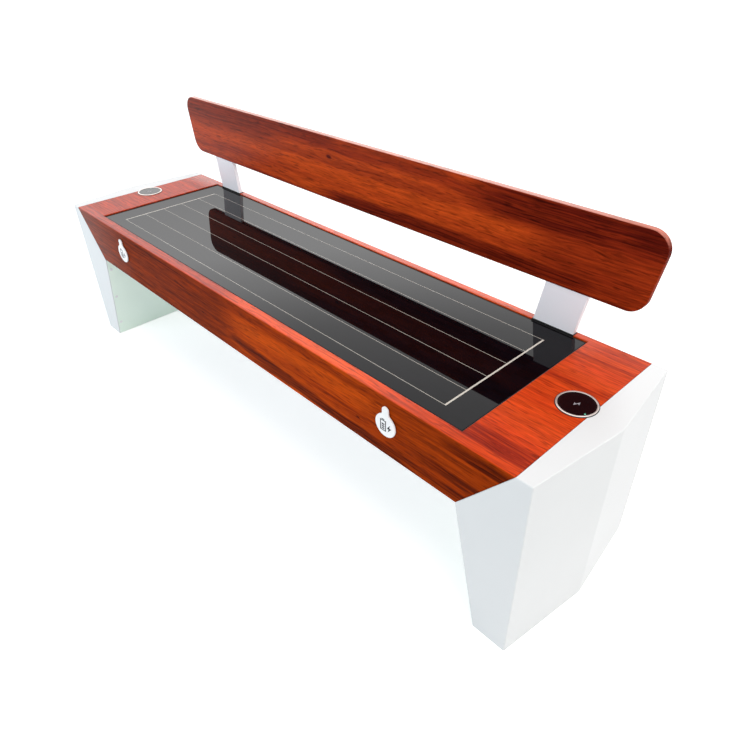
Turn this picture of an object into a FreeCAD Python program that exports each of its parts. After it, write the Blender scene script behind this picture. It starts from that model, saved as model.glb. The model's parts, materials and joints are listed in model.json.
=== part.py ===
import FreeCAD, Part
import math
import os

# Solar charging bench. X runs along the seat, Y from front to back, Z up.
# The origin is on the floor, under the middle of the seat. All sizes in millimetres.
Vec = FreeCAD.Vector

# Seat and legs, outside
seat_height = 450.0
seat_depth = 450.0
seat_half_length = 843.0
leg_corner_out = 33.0
leg_crease_out = 30.0
apron_height = 145.0
apron_end_run = 115.0
foot_run = 70.0
sheet = 2.5
bend_radius = 3.0
joint_gap = 0.8
fit_gap = 0.3
past = 1.0

# Seat skin
return_flange = 20.0
lip_gap = 1.0
notch_gap = 0.5

# Solar panel
glass_end_margin = 134.0
glass_front_margin = 30.0
glass_strut_gap = 0.5
glass_recess = 3.5
glass_thick = 5.0
gasket_width = 3.0
gasket_drop = 0.3
base_thick = 3.0
cell_thick = 0.5
cell_end_margin = 68.0
cell_front_margin = 34.0
cell_rear_margin = 51.0
cell_strip_count = 5
ribbon_width = 1.5
end_ribbon_width = 4.0
ribbon_gap = 0.3
junction_y = 24.0
junction_size = 60.0
junction_height = 20.0
junction_corner = 3.0

# Frame inside the seat
rail_height = 80.0
rail_width = 40.0
rail_wall = 4.0
front_rail_inset = 45.0
end_plate_thick = 6.0
cross_plate_inset = 43.0
cross_plate_thick = 6.0
cross_plate_below = 28.0
cross_plate_top_drop = 6.0
cross_tube = 30.0
cross_tube_wall = 2.0
cross_tube_step = 330.0
cross_tube_end_inset = 343.0
frame_bolt_radius = 6.0
frame_bolt_inset = 22.0
nut_thick = 10.0
bolt_head_thick = 8.0
frame_nut_radius = 10.4
bolt_clearance = 0.5
screw_clearance = 0.05
screw_tip = 3.0
ledge_width = 20.0
ledge_thick = 2.5

# Leg insides
panel_sheet = 2.0
panel_return = 20.0
base_plate_thick = 8.0
anchor_spacing = 340.0
anchor_shift = 1.0
anchor_hole_radius = 7.0
panel_screw_radius = 2.5
panel_screw_head_radius = 5.0
panel_screw_head = 1.6
panel_screw_rows = 3
panel_screw_inset = 40.0
panel_screw_edge = 12.0

# Tray under the seat
tray_sheet = 2.0
tray_inset = 12.0
tray_end_cover = 2.0
tray_screw_count = 7
tray_screw_inset = 60.0

# Backrest and its struts
back_gap = 98.0
back_height = 170.0
back_end_inset = 5.0
back_end_lean = 26.0
back_corner_radius = 40.0
back_front_depth = 9.0
back_rear_depth = 6.0
back_sheet = 1.5
strut_end_inset = 216.5
strut_width = 100.0
strut_thick = 12.0
strut_lean = 0.175
strut_front_inset = 19.5
strut_foot_lift = 2.0
strut_top_drop = 14.0
strut_bolt_radius = 5.0
strut_bolt_head_radius = 8.0
strut_bolt_head = 4.0
strut_bolt_half_spacing = 28.0
strut_nut_radius = 9.25
back_bolt_radius = 4.0
back_bolt_head_radius = 7.5
back_bolt_inset = 42.0
back_bolt_short = 1.0
bolt_head_round = 2.4
stiffener_count = 4
stiffener_pitch = 280.0
stiffener_width = 40.0
stiffener_wall = 1.5
stiffener_end_gap = 3.0
rivet_radius = 2.4
rivet_head_radius = 4.5
rivet_head = 1.2

# Wireless chargers
charger_inset = 33.0
charger_y = 6.0
charger_radius = 38.5
charger_rim = 3.3
charger_height = 2.0
charger_edge_round = 0.8
charger_pad_drop = 0.4
charger_pad_thick = 1.2
charger_sleeve_radius = 30.0
charger_sleeve_wall = 2.0
charger_sleeve_depth = 24.0
charger_nut_radius = 37.0
charger_nut_thick = 6.0
charger_coil_radius = 24.0
charger_coil_hole = 8.0
charger_coil_thick = 2.5
charger_coil_seat = 3.0
charger_cup_floor = 2.0
led_radius = 1.5
led_place_radius = 31.5
led_angle = -33.0

# USB sockets in the front apron
usb_end_inset = 290.0
usb_drop = 65.0
cover_radius = 26.5
cover_tab_width = 17.0
cover_tab_reach = 44.5
cover_neck_radius = 8.0
cover_thick = 3.0
cover_gap = 0.3
bezel_radius = 22.5
bezel_thick = 1.5
socket_radius = 17.5
socket_wall = 2.0
socket_depth = 30.0
socket_recess = 4.5
socket_nut_radius = 23.0
socket_nut_thick = 6.0
port_width = 12.6
port_height = 5.2
port_depth = 12.0
port_pitch = 10.0
tongue_thick = 1.9
tongue_width = 11.2
tongue_depth = 8.8
tongue_gap = 0.7
pivot_radius = 2.5
pivot_head_radius = 4.0
pivot_head_thick = 1.0
pivot_clearance = 0.05
pivot_head_clearance = 0.2
pivot_head_play = 0.1
pivot_collar_radius = 5.0

# Battery, controller and wiring
battery_lead_room = 90.0
battery_lane_gap = 40.0
battery_length = 330.0
battery_depth = 180.0
battery_height = 70.0
battery_corner = 6.0
battery_socket_drop = 35.0
strap_width = 20.0
strap_sheet = 1.5
strap_foot = 18.0
strap_half_spacing = 100.0
controller_inset = 210.0
controller_y = -20.0
controller_length = 140.0
controller_depth = 100.0
controller_height = 40.0
controller_corner = 4.0
controller_socket_drop = 20.0
usb_socket_offset = 35.0
charger_socket_drop = 12.0
power_lead_radius = 3.0
signal_lead_radius = 2.0
clip_wall = 2.0
clip_width = 8.0
lead_clearance = 0.2
lead_drop = 5.0
arc_share = 0.45
lead_straight = 30.0
lead_lane_gap = 20.0
solar_lead_reach = 65.0
solar_lead_turn = 35.0
usb_lead_depth = 18.0
charger_lead_rise = 5.0
charger_lead_bend = 9.0
charger_lead_dip = 79.0
floor_clip_first_inset = 153.0
floor_clip_step = 200.0
floor_clip_last_inset = 160.0

# Places worked out from the sizes above
glass_half_length = seat_half_length - glass_end_margin
cell_half_length = glass_half_length - cell_end_margin
cross_tube_outer = seat_half_length - cross_tube_end_inset
cross_tube_inner = cross_tube_outer - cross_tube_step
cross_tube_places = (-cross_tube_outer, -cross_tube_inner, cross_tube_inner, cross_tube_outer)
hanging_clip_places = (-cross_tube_outer, -cross_tube_inner, cross_tube_outer)
back_top_half_length = seat_half_length - back_end_inset
strut_x = seat_half_length - strut_end_inset
charger_x = seat_half_length - charger_inset
usb_x = seat_half_length - usb_end_inset
stiffener_places = [stiffener_pitch * (step - (stiffener_count - 1) / 2) for step in range(stiffener_count)]
front_y = -seat_depth / 2
rear_y = seat_depth / 2
seat_under = seat_height - sheet
leg_corner_x = seat_half_length + leg_corner_out
leg_crease_x = leg_corner_x + leg_crease_out
apron_foot_z = seat_height - apron_height
apron_foot_x = seat_half_length - apron_end_run
foot_x = apron_foot_x + foot_run
glass_front = front_y + glass_front_margin
glass_top = seat_height - glass_recess
glass_bottom = glass_top - glass_thick
base_top = glass_bottom - cell_thick
rail_top = base_top - base_thick
rail_bottom = rail_top - rail_height
lip_foot = rail_top + lip_gap
strut_front = rear_y - strut_front_inset
strut_rear = strut_front + strut_thick
glass_rear = strut_front - glass_strut_gap - gasket_width
cell_strip_pitch = (glass_rear - glass_front - cell_front_margin - cell_rear_margin) / cell_strip_count
cross_plate_x = seat_half_length - cross_plate_inset
cross_plate_top = rail_top - cross_plate_top_drop
back_bottom = seat_height + back_gap
back_top = back_bottom + back_height
back_front = strut_front - back_sheet
back_split = back_front + back_front_depth
back_rear = back_split + back_rear_depth
usb_z = seat_height - usb_drop
cover_pivot_reach = cover_tab_reach - cover_tab_width / 2
pivot_z = usb_z + cover_pivot_reach
cover_back = front_y - bezel_thick - cover_gap
cover_front = cover_back - cover_thick
tray_top = apron_foot_z
charger_sleeve_foot = seat_height - charger_sleeve_depth
charger_pad_top = seat_height + charger_height - charger_pad_drop
charger_pad_foot = charger_pad_top - charger_pad_thick
charger_coil_foot = charger_pad_foot - charger_coil_thick
anchor_x = (foot_x + leg_corner_x) / 2 + anchor_shift
controller_top = tray_top + controller_height
battery_top = tray_top + battery_height
controller_x = cross_tube_outer - controller_inset
controller_left = controller_x - controller_length / 2
controller_right = controller_x + controller_length / 2
battery_x = controller_left - battery_lead_room - battery_length / 2
floor_clip_first = floor_clip_first_inset - usb_x
floor_clip_places = (floor_clip_first, floor_clip_first + floor_clip_step,
                     controller_left - floor_clip_last_inset)
lead_level = rail_top - cross_tube - lead_drop
lead_lane_y = front_y + front_rail_inset + rail_width + lead_lane_gap
battery_y = lead_lane_y + battery_lane_gap + battery_depth / 2
junction_x = controller_x
floor_lead_z = tray_top + clip_wall + signal_lead_radius


def box(x0, x1, y0, y1, z0, z1):
    return Part.makeBox(x1 - x0, y1 - y0, z1 - z0, Vec(x0, y0, z0))


def disc_z(x, y, z0, z1, radius):
    return Part.makeCylinder(radius, z1 - z0, Vec(x, y, z0), Vec(0, 0, 1))


def disc_y(x, z, y0, y1, radius):
    return Part.makeCylinder(radius, y1 - y0, Vec(x, y0, z), Vec(0, 1, 0))


def disc_x(y, z, x0, x1, radius):
    return Part.makeCylinder(radius, x1 - x0, Vec(x0, y, z), Vec(1, 0, 0))


def face_of(points):
    return Part.Face(Part.makePolygon(points + [points[0]]))


def prism_y(outline, y0, y1):
    """Extrude an outline of (x, z) points from y0 to y1."""
    return face_of([Vec(x, y0, z) for x, z in outline]).extrude(Vec(0, y1 - y0, 0))


def prism_z(outline, z0, z1):
    """Extrude an outline of (x, y) points from z0 to z1."""
    return face_of([Vec(x, y, z0) for x, y in outline]).extrude(Vec(0, 0, z1 - z0))


def hexagon_x(y, z, x0, x1, radius):
    corners = [math.radians(60 * turn) for turn in range(6)]
    ring = [Vec(x0, y + radius * math.cos(a), z + radius * math.sin(a)) for a in corners]
    return face_of(ring).extrude(Vec(x1 - x0, 0, 0))


def hexagon_y(x, z, y0, y1, radius):
    corners = [math.radians(60 * turn) for turn in range(6)]
    ring = [Vec(x + radius * math.cos(a), y0, z + radius * math.sin(a)) for a in corners]
    return face_of(ring).extrude(Vec(0, y1 - y0, 0))


def other_side(shape):
    return shape.mirror(Vec(0, 0, 0), Vec(1, 0, 0))


def joined(first, *others):
    return first.multiFuse(list(others)).removeSplitter()


def group(shapes):
    return Part.makeCompound(shapes)


def spread(count, low, high):
    return [low + (high - low) * step / (count - 1) for step in range(count)]


def long_edges(shape, direction, wanted):
    """Straight edges along a direction whose middle point passes the test."""
    chosen = []
    for edge in shape.Edges:
        start, end = edge.Vertexes[0].Point, edge.Vertexes[-1].Point
        run = end - start
        if run.Length > 1 and abs(run.normalize().dot(direction)) > 0.999:
            if wanted((start + end) * 0.5):
                chosen.append(edge)
    return chosen


def strut_middle(z):
    return strut_x + strut_lean * (z - seat_height)


def strut_outline(z0, z1, grow):
    half = strut_width / 2 + grow
    low, high = strut_middle(z0), strut_middle(z1)
    return [(low - half, z0), (low + half, z0), (high + half, z1), (high - half, z1)]


# Seat skin: one folded sheet with a top, two aprons and a lip round the glass
def seat_cover():
    outline = [(-seat_half_length, seat_height), (seat_half_length, seat_height),
               (apron_foot_x, apron_foot_z), (-apron_foot_x, apron_foot_z)]
    body = prism_y(outline, front_y, rear_y)
    folds = long_edges(body, Vec(1, 0, 0), lambda middle: middle.z > seat_under)
    body = body.makeFillet(bend_radius, folds)
    reach = seat_half_length + past
    hollow = box(-reach, reach, front_y + sheet, rear_y - sheet, apron_foot_z + sheet, seat_under)
    mouth = box(-reach, reach, front_y + return_flange, rear_y - return_flange,
                apron_foot_z - past, apron_foot_z + sheet + past)
    hole_x = glass_half_length + gasket_width
    hole_front = glass_front - gasket_width
    hole_rear = glass_rear + gasket_width
    hole = box(-hole_x, hole_x, hole_front, hole_rear, lip_foot - past, seat_height + past)
    lip = box(-hole_x - sheet, hole_x + sheet, hole_front - sheet, hole_rear + sheet,
              lip_foot, seat_height - sheet / 2)
    body = body.cut(hollow).cut(mouth).fuse(lip).cut(hole)
    cuts = []
    notch = prism_y(strut_outline(rail_bottom, back_bottom, notch_gap),
                    hole_rear - past, strut_rear + notch_gap)
    for sign in (-1, 1):
        cuts.append(disc_z(sign * charger_x, charger_y, seat_under - past, seat_height + past,
                           charger_sleeve_radius + bolt_clearance))
        cuts.append(disc_y(sign * usb_x, usb_z, front_y - past, front_y + sheet + past,
                           socket_radius + bolt_clearance))
        cuts.append(disc_y(sign * usb_x, pivot_z, front_y - past, front_y + sheet + past, pivot_radius))
        cuts.append(notch if sign > 0 else other_side(notch))
    cuts += tray_screw_holes(apron_foot_z, apron_foot_z + sheet)
    return body.cut(group(cuts)).removeSplitter()


def lean_x(z, inwards):
    """X of the leg's leaning inner face at a height, moved a depth into the leg."""
    slope = foot_run / apron_foot_z
    return foot_x + joint_gap - slope * z + inwards * math.hypot(1, slope)


def leaning_slab(z0, z1, near, far, y0, y1):
    outline = [(lean_x(z0, near), z0), (lean_x(z1, near), z1), (lean_x(z1, far), z1), (lean_x(z0, far), z0)]
    return prism_y(outline, y0, y1)


def leg_plan(inset, inner_x):
    """Plan of the leg's outside, moved inwards by a wall thickness."""
    slope = leg_crease_out / (seat_depth / 2)
    back = inset * math.hypot(1, slope)
    corner = leg_corner_x - back + slope * inset
    return [(inner_x, front_y + inset), (corner, front_y + inset), (leg_crease_x - back, 0),
            (corner, rear_y - inset), (inner_x, rear_y - inset)]


# Leg shell: folded front, rear and outer faces with a top cap
def leg_shell():
    body = prism_z(leg_plan(0, apron_foot_x - past), 0, seat_height)
    corners = long_edges(body, Vec(0, 0, 1), lambda middle: middle.x > seat_half_length)
    body = body.makeFillet(bend_radius, corners)
    reach = leg_crease_x + past
    profile = [(seat_half_length + joint_gap, seat_height), (reach, seat_height), (reach, 0),
               (lean_x(0, 0), 0), (lean_x(apron_foot_z, 0), apron_foot_z)]
    body = body.common(prism_y(profile, front_y - past, rear_y + past))
    body = body.cut(prism_z(leg_plan(sheet, apron_foot_x - 2 * past), -past, seat_under))
    inner_front = front_y + sheet / 2
    inner_rear = rear_y - sheet / 2
    low, high = base_plate_thick, apron_foot_z - return_flange
    returns = [leaning_slab(low, high, panel_sheet, panel_sheet + sheet, inner_front, front_y + panel_return),
               leaning_slab(low, high, panel_sheet, panel_sheet + sheet, rear_y - panel_return, inner_rear)]
    ledge = box(seat_half_length - ledge_width, seat_half_length + ledge_width, inner_front, inner_rear,
                seat_under - ledge_thick, seat_under)
    room = charger_nut_radius + bolt_clearance
    ledge = ledge.cut(box(seat_half_length - ledge_width - past, charger_x + room, charger_y - room,
                          charger_y + room, seat_under - ledge_thick - past, seat_under + past))
    ledge = ledge.cut(apron_wedge())
    body = joined(body, ledge, *returns)
    return body.cut(group(panel_screw_holes()))


def apron_wedge():
    """The thickness of both aprons, where the ledge has to stop short."""
    reach = seat_half_length + joint_gap
    strip_front = box(apron_foot_x, reach, front_y, front_y + sheet, apron_foot_z, seat_under)
    strip_rear = box(apron_foot_x, reach, rear_y - sheet, rear_y, apron_foot_z, seat_under)
    return group([strip_front, strip_rear])


def leaning_axis():
    slope = foot_run / apron_foot_z
    return Vec(1, 0, slope).normalize()


def panel_screw_places():
    """Points on the leaning face, at its surface."""
    places = []
    for z in spread(panel_screw_rows, base_plate_thick + panel_screw_inset, apron_foot_z - panel_screw_inset):
        for y in (front_y + panel_screw_edge, rear_y - panel_screw_edge):
            places.append(Vec(lean_x(z, 0), y, z))
    return places


def panel_screw_holes():
    axis = leaning_axis()
    depth = panel_sheet + sheet + 4 * past
    radius = panel_screw_radius + screw_clearance
    return [Part.makeCylinder(radius, depth, place - axis * past, axis) for place in panel_screw_places()]


def leg_panel_screws():
    axis = leaning_axis()
    screws = []
    for place in panel_screw_places():
        shank = Part.makeCylinder(panel_screw_radius, panel_sheet + sheet + screw_tip, place, axis)
        top = place - axis * panel_screw_head
        head = Part.makeCylinder(panel_screw_head_radius, panel_screw_head, top, axis)
        screws.append(joined(shank, head))
    return screws


def leg_inner_panel():
    side = seat_depth / 2 - sheet - fit_gap
    panel = leaning_slab(0, apron_foot_z - tray_sheet - fit_gap, 0, panel_sheet, -side, side)
    return panel.cut(group(panel_screw_holes()))


def leg_base_plate():
    plate = prism_z(leg_plan(sheet, lean_x(0, panel_sheet + fit_gap)), 0, base_plate_thick)
    holes = [disc_z(anchor_x, sign * anchor_spacing / 2, -past, base_plate_thick + past, anchor_hole_radius)
             for sign in (-1, 1)]
    return plate.cut(group(holes))


def rail_centres():
    front = front_y + front_rail_inset + rail_width / 2
    rear = strut_front - rail_width / 2
    return front, rear


def frame_bolt_places():
    levels = (rail_bottom + frame_bolt_inset, rail_top - frame_bolt_inset)
    return [(y, z) for y in rail_centres() for z in levels]


def leg_cross_plate():
    side = seat_depth / 2 - sheet
    plate = box(cross_plate_x, cross_plate_x + cross_plate_thick, -side, side,
                rail_bottom - cross_plate_below, cross_plate_top)
    room = charger_nut_radius + bolt_clearance
    notch = box(cross_plate_x - past, cross_plate_x + cross_plate_thick + past, charger_y - room,
                charger_y + room, charger_sleeve_foot - nut_thick, cross_plate_top + past)
    holes = [disc_x(y, z, cross_plate_x - past, cross_plate_x + cross_plate_thick + past,
                    frame_bolt_radius + bolt_clearance) for y, z in frame_bolt_places()]
    return plate.cut(group(holes + [notch]))


def frame_bolts():
    """Bolts and nuts that hold the rails' end plates to one leg."""
    plate_face = cross_plate_x - end_plate_thick
    far_face = cross_plate_x + cross_plate_thick
    pieces = []
    for y, z in frame_bolt_places():
        shank = disc_x(y, z, plate_face - bolt_head_thick, far_face + nut_thick + screw_tip,
                       frame_bolt_radius)
        head = hexagon_x(y, z, plate_face - bolt_head_thick, plate_face, frame_nut_radius)
        nut = hexagon_x(y, z, far_face, far_face + nut_thick, frame_nut_radius)
        pieces.append(joined(shank, head))
        pieces.append(nut.cut(disc_x(y, z, far_face - past, far_face + nut_thick + past,
                                     frame_bolt_radius + screw_clearance)))
    return pieces


def channel_rail(y_web, y_lips):
    """Channel along the bench, closed by an end plate at each end."""
    y0, y1 = min(y_web, y_lips), max(y_web, y_lips)
    body = box(-cross_plate_x, cross_plate_x, y0, y1, rail_bottom, rail_top)
    inside = cross_plate_x - end_plate_thick
    if y_web < y_lips:
        hollow_y = (y0 + rail_wall, y1 + past)
    else:
        hollow_y = (y0 - past, y1 - rail_wall)
    body = body.cut(box(-inside, inside, *hollow_y, rail_bottom + rail_wall, rail_top - rail_wall))
    middle = (y0 + y1) / 2
    holes = []
    for z in (rail_bottom + frame_bolt_inset, rail_top - frame_bolt_inset):
        radius = frame_bolt_radius + bolt_clearance
        holes.append(disc_x(middle, z, -cross_plate_x - past, -inside + past, radius))
        holes.append(disc_x(middle, z, inside - past, cross_plate_x + past, radius))
    return body.cut(group(holes))


def seat_front_rail():
    y = front_y + front_rail_inset
    return channel_rail(y, y + rail_width)


def strut_bolt_places():
    """X and Z of the bolts between one strut and the rear rail."""
    places = []
    for z in (rail_bottom + frame_bolt_inset, rail_top - frame_bolt_inset):
        for side in (-1, 1):
            places.append((strut_middle(z) + side * strut_bolt_half_spacing, z))
    return places


def seat_rear_rail():
    rail = channel_rail(strut_front, strut_front - rail_width)
    holes = []
    for sign in (-1, 1):
        for x, z in strut_bolt_places():
            holes.append(disc_y(sign * x, z, strut_front - rail_wall - past, strut_front + past,
                                strut_bolt_radius + bolt_clearance))
    return rail.cut(group(holes))


def seat_cross_members():
    front, rear = rail_centres()
    y0, y1 = front + rail_width / 2, rear - rail_width / 2
    tubes = []
    for x in cross_tube_places:
        x0, x1 = x - cross_tube / 2, x + cross_tube / 2
        tube = box(x0, x1, y0, y1, rail_top - cross_tube, rail_top)
        wall = cross_tube_wall
        tubes.append(tube.cut(box(x0 + wall, x1 - wall, y0 - past, y1 + past,
                                  rail_top - cross_tube + wall, rail_top - wall)))
    return tubes


def tray_screw_places():
    xs = spread(tray_screw_count, -apron_foot_x + tray_screw_inset, apron_foot_x - tray_screw_inset)
    middle = (tray_inset + return_flange) / 2
    return [(x, y) for x in xs for y in (front_y + middle, rear_y - middle)]


def seat_bottom_tray():
    reach = apron_foot_x + tray_end_cover
    tray = box(-reach, reach, front_y + tray_inset, rear_y - tray_inset, tray_top - tray_sheet, tray_top)
    return tray.cut(group(tray_screw_holes(tray_top - tray_sheet, tray_top)))


def tray_screw_holes(low, high):
    return [disc_z(x, y, low - past, high + past, panel_screw_radius + screw_clearance)
            for x, y in tray_screw_places()]


def bottom_tray_screws():
    screws = []
    low = tray_top - tray_sheet
    for x, y in tray_screw_places():
        shank = disc_z(x, y, low, apron_foot_z + sheet + screw_tip, panel_screw_radius)
        head = disc_z(x, y, low - panel_screw_head, low, panel_screw_head_radius)
        screws.append(joined(shank, head))
    return screws


# Solar panel: glass over cell strips and silver ribbons on a base sheet
def panel_box(z0, z1, grow=0.0):
    return box(-glass_half_length - grow, glass_half_length + grow,
               glass_front - grow, glass_rear + grow, z0, z1)


def glass_gasket():
    ring = panel_box(base_top, glass_top - gasket_drop, gasket_width)
    return ring.cut(panel_box(base_top - past, glass_top + past))


def strip_edge(step):
    return glass_front + cell_front_margin + step * cell_strip_pitch


def solar_cell_strips():
    half = cell_half_length - end_ribbon_width / 2 - ribbon_gap
    side = ribbon_width / 2 + ribbon_gap
    return [box(-half, half, strip_edge(step) + side, strip_edge(step + 1) - side, base_top, glass_bottom)
            for step in range(cell_strip_count)]


def cell_ribbons():
    half = cell_half_length - end_ribbon_width / 2
    side = ribbon_width / 2
    ribbons = [box(-half, half, strip_edge(step) - side, strip_edge(step) + side, base_top, glass_bottom)
               for step in range(cell_strip_count + 1)]
    for sign in (-1, 1):
        x = sign * cell_half_length
        ribbons.append(box(x - end_ribbon_width / 2, x + end_ribbon_width / 2, strip_edge(0) - side,
                           strip_edge(cell_strip_count) + side, base_top, glass_bottom))
    return ribbons


def solar_junction_box():
    half = junction_size / 2
    body = box(junction_x - half, junction_x + half, junction_y - half, junction_y + half,
               rail_top - junction_height, rail_top)
    return body.makeFillet(junction_corner, long_edges(body, Vec(0, 0, 1), lambda middle: True))


# Backrest: two folded pans, edge to edge, over the two struts
def back_outline_wire(inset, y):
    """Rounded trapezoid of the backrest, moved inwards, as a closed wire."""
    slope = back_end_lean / back_height
    back = inset * math.hypot(1, slope)
    low, high = back_bottom + inset, back_top - inset
    wide = back_top_half_length - back - slope * inset
    narrow = back_top_half_length - back_end_lean - back + slope * inset
    corners = [Vec(-narrow, y, low), Vec(narrow, y, low), Vec(wide, y, high), Vec(-wide, y, high)]
    radius = back_corner_radius - inset
    edges = []
    ends = []
    for index, corner in enumerate(corners):
        before = (corners[index - 1] - corner).normalize()
        after = (corners[(index + 1) % 4] - corner).normalize()
        half_angle = before.getAngle(after) / 2
        run = radius / math.tan(half_angle)
        start, end = corner + before * run, corner + after * run
        inward = (before + after).normalize()
        middle = corner + inward * (radius / math.sin(half_angle) - radius)
        edges.append(Part.Arc(start, middle, end).toShape())
        ends.append((start, end))
    for index in range(4):
        edges.append(Part.makeLine(ends[index][1], ends[(index + 1) % 4][0]))
    return Part.Wire(Part.__sortEdges__(edges))


def back_slab(inset, y0, y1):
    return Part.Face(back_outline_wire(inset, y0)).extrude(Vec(0, y1 - y0, 0))


def strut_solid(grow):
    outline = strut_outline(rail_bottom + strut_foot_lift, back_top - strut_top_drop, grow)
    return prism_y(outline, strut_front, strut_rear)


def back_bolt_places():
    places = []
    for z in (back_bottom + back_bolt_inset, back_top - back_bolt_inset):
        for side in (-1, 1):
            places.append((strut_middle(z) + side * strut_bolt_half_spacing, z))
    return places


def strut_slots():
    slot = prism_y(strut_outline(back_bottom - past, back_bottom + back_sheet + past, notch_gap),
                   strut_front, strut_rear)
    return [slot, other_side(slot)]


def backrest_front_shell():
    shell = back_slab(0, back_front, back_split)
    shell = shell.cut(back_slab(back_sheet, back_front + back_sheet, back_split + past))
    return shell.cut(group(strut_slots()))


def rivet_places():
    levels = (back_bottom + back_bolt_inset, back_top - back_bolt_inset)
    return [(x, z) for x in stiffener_places for z in levels]


def backrest_rear_cover():
    cover = back_slab(0, back_split, back_rear)
    cover = cover.cut(back_slab(back_sheet, back_split - past, back_rear - back_sheet))
    cuts = strut_slots()
    for x, z in back_bolt_places():
        for sign in (-1, 1):
            cuts.append(disc_y(sign * x, z, back_split, back_rear + past, back_bolt_radius + screw_clearance))
    for x, z in rivet_places():
        cuts.append(disc_y(x, z, back_split, back_rear + past, rivet_radius + screw_clearance))
    return cover.cut(group(cuts))


def backrest_stiffeners():
    """Hat sections between the two skins."""
    front, rear = back_front + back_sheet, back_rear - back_sheet
    pieces = []
    for x in stiffener_places:
        x0, x1 = x - stiffener_width / 2, x + stiffener_width / 2
        z0 = back_bottom + back_sheet + stiffener_end_gap
        z1 = back_top - back_sheet - stiffener_end_gap
        piece = box(x0, x1, front, rear, z0, z1)
        piece = piece.cut(box(x0 + stiffener_wall, x1 - stiffener_wall, front - past, rear - stiffener_wall,
                              z0 - past, z1 + past))
        holes = [disc_y(place_x, z, front - past, rear + past, rivet_radius + screw_clearance)
                 for place_x, z in rivet_places()]
        pieces.append(piece.cut(group(holes)))
    return pieces


def backrest_rivets():
    rear = back_rear
    rivets = []
    for x, z in rivet_places():
        shank = disc_y(x, z, rear - back_sheet - stiffener_wall - screw_tip, rear, rivet_radius)
        rivets.append(joined(shank, disc_y(x, z, rear, rear + rivet_head, rivet_head_radius)))
    return rivets


def backrest_strut():
    strut = strut_solid(0)
    holes = [disc_y(x, z, strut_front - past, strut_rear + past, strut_bolt_radius + bolt_clearance)
             for x, z in strut_bolt_places()]
    holes += [disc_y(x, z, strut_front - past, strut_rear + past, back_bolt_radius + screw_clearance)
              for x, z in back_bolt_places()]
    return strut.cut(group(holes))


def backrest_bolts():
    bolts = []
    for x, z in back_bolt_places():
        shank = disc_y(x, z, strut_front + back_bolt_short, back_rear, back_bolt_radius)
        head = disc_y(x, z, back_rear, back_rear + strut_bolt_head, back_bolt_head_radius)
        rim = [edge for edge in head.Edges if edge.BoundBox.YMin > back_rear + strut_bolt_head / 2]
        bolts.append(joined(shank, head.makeFillet(bolt_head_round, rim)))
    return bolts


def strut_bolts():
    """Bolts through one strut and the rear rail's web, with their nuts."""
    inner = strut_front - rail_wall
    pieces = []
    for x, z in strut_bolt_places():
        shank = disc_y(x, z, inner - nut_thick - screw_tip, strut_rear, strut_bolt_radius)
        head = disc_y(x, z, strut_rear, strut_rear + strut_bolt_head, strut_bolt_head_radius)
        nut = hexagon_y(x, z, inner - nut_thick, inner, strut_nut_radius)
        pieces.append(joined(shank, head))
        pieces.append(nut.cut(disc_y(x, z, inner - nut_thick - past, inner + past,
                                     strut_bolt_radius + screw_clearance)))
    return pieces


# Wireless charger: a flanged ring with a pad, and a cup, coil and nut below
def charger_ring(x):
    outer = disc_z(x, charger_y, seat_height, seat_height + charger_height, charger_radius)
    rim = [edge for edge in outer.Edges if edge.BoundBox.ZMin > seat_height + charger_height / 2]
    outer = outer.makeFillet(charger_edge_round, rim)
    well = disc_z(x, charger_y, charger_pad_foot, seat_height + charger_height + past,
                  charger_radius - charger_rim)
    sleeve = disc_z(x, charger_y, charger_sleeve_foot, seat_height, charger_sleeve_radius)
    bore = disc_z(x, charger_y, charger_sleeve_foot - past, seat_height + charger_height + past,
                  charger_sleeve_radius - charger_sleeve_wall)
    return outer.fuse(sleeve).cut(well).cut(bore).removeSplitter()


def led_place(x):
    """The right charger's light points to the front end corner; the left one is turned half round."""
    turn = math.radians(led_angle if x > 0 else led_angle + 180)
    return x + led_place_radius * math.cos(turn), charger_y + led_place_radius * math.sin(turn)


def charger_pad(x):
    pad = disc_z(x, charger_y, charger_pad_foot, charger_pad_top, charger_radius - charger_rim - fit_gap / 2)
    led = led_place(x)
    return pad.cut(disc_z(led[0], led[1], charger_pad_foot - past, charger_pad_top + past,
                          led_radius + pivot_clearance))


def charger_light(x):
    led = led_place(x)
    return disc_z(led[0], led[1], charger_pad_foot, charger_pad_top, led_radius)


def charger_coil(x):
    ring = disc_z(x, charger_y, charger_coil_foot, charger_pad_foot, charger_coil_radius)
    return ring.cut(disc_z(x, charger_y, charger_coil_foot - past, charger_pad_foot + past,
                           charger_coil_hole))


def charger_housing(x):
    """Cup that closes the sleeve from below and carries the coil on its edge."""
    outer_radius = charger_sleeve_radius - charger_sleeve_wall - pivot_clearance
    cup = disc_z(x, charger_y, charger_sleeve_foot, charger_coil_foot, outer_radius)
    return cup.cut(disc_z(x, charger_y, charger_sleeve_foot + charger_cup_floor, charger_coil_foot + past,
                          charger_coil_radius - charger_coil_seat))


def charger_lock_nut(x):
    nut = disc_z(x, charger_y, seat_under - charger_nut_thick, seat_under, charger_nut_radius)
    return nut.cut(disc_z(x, charger_y, seat_under - charger_nut_thick - past, seat_under + past,
                          charger_sleeve_radius + pivot_clearance))


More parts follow.
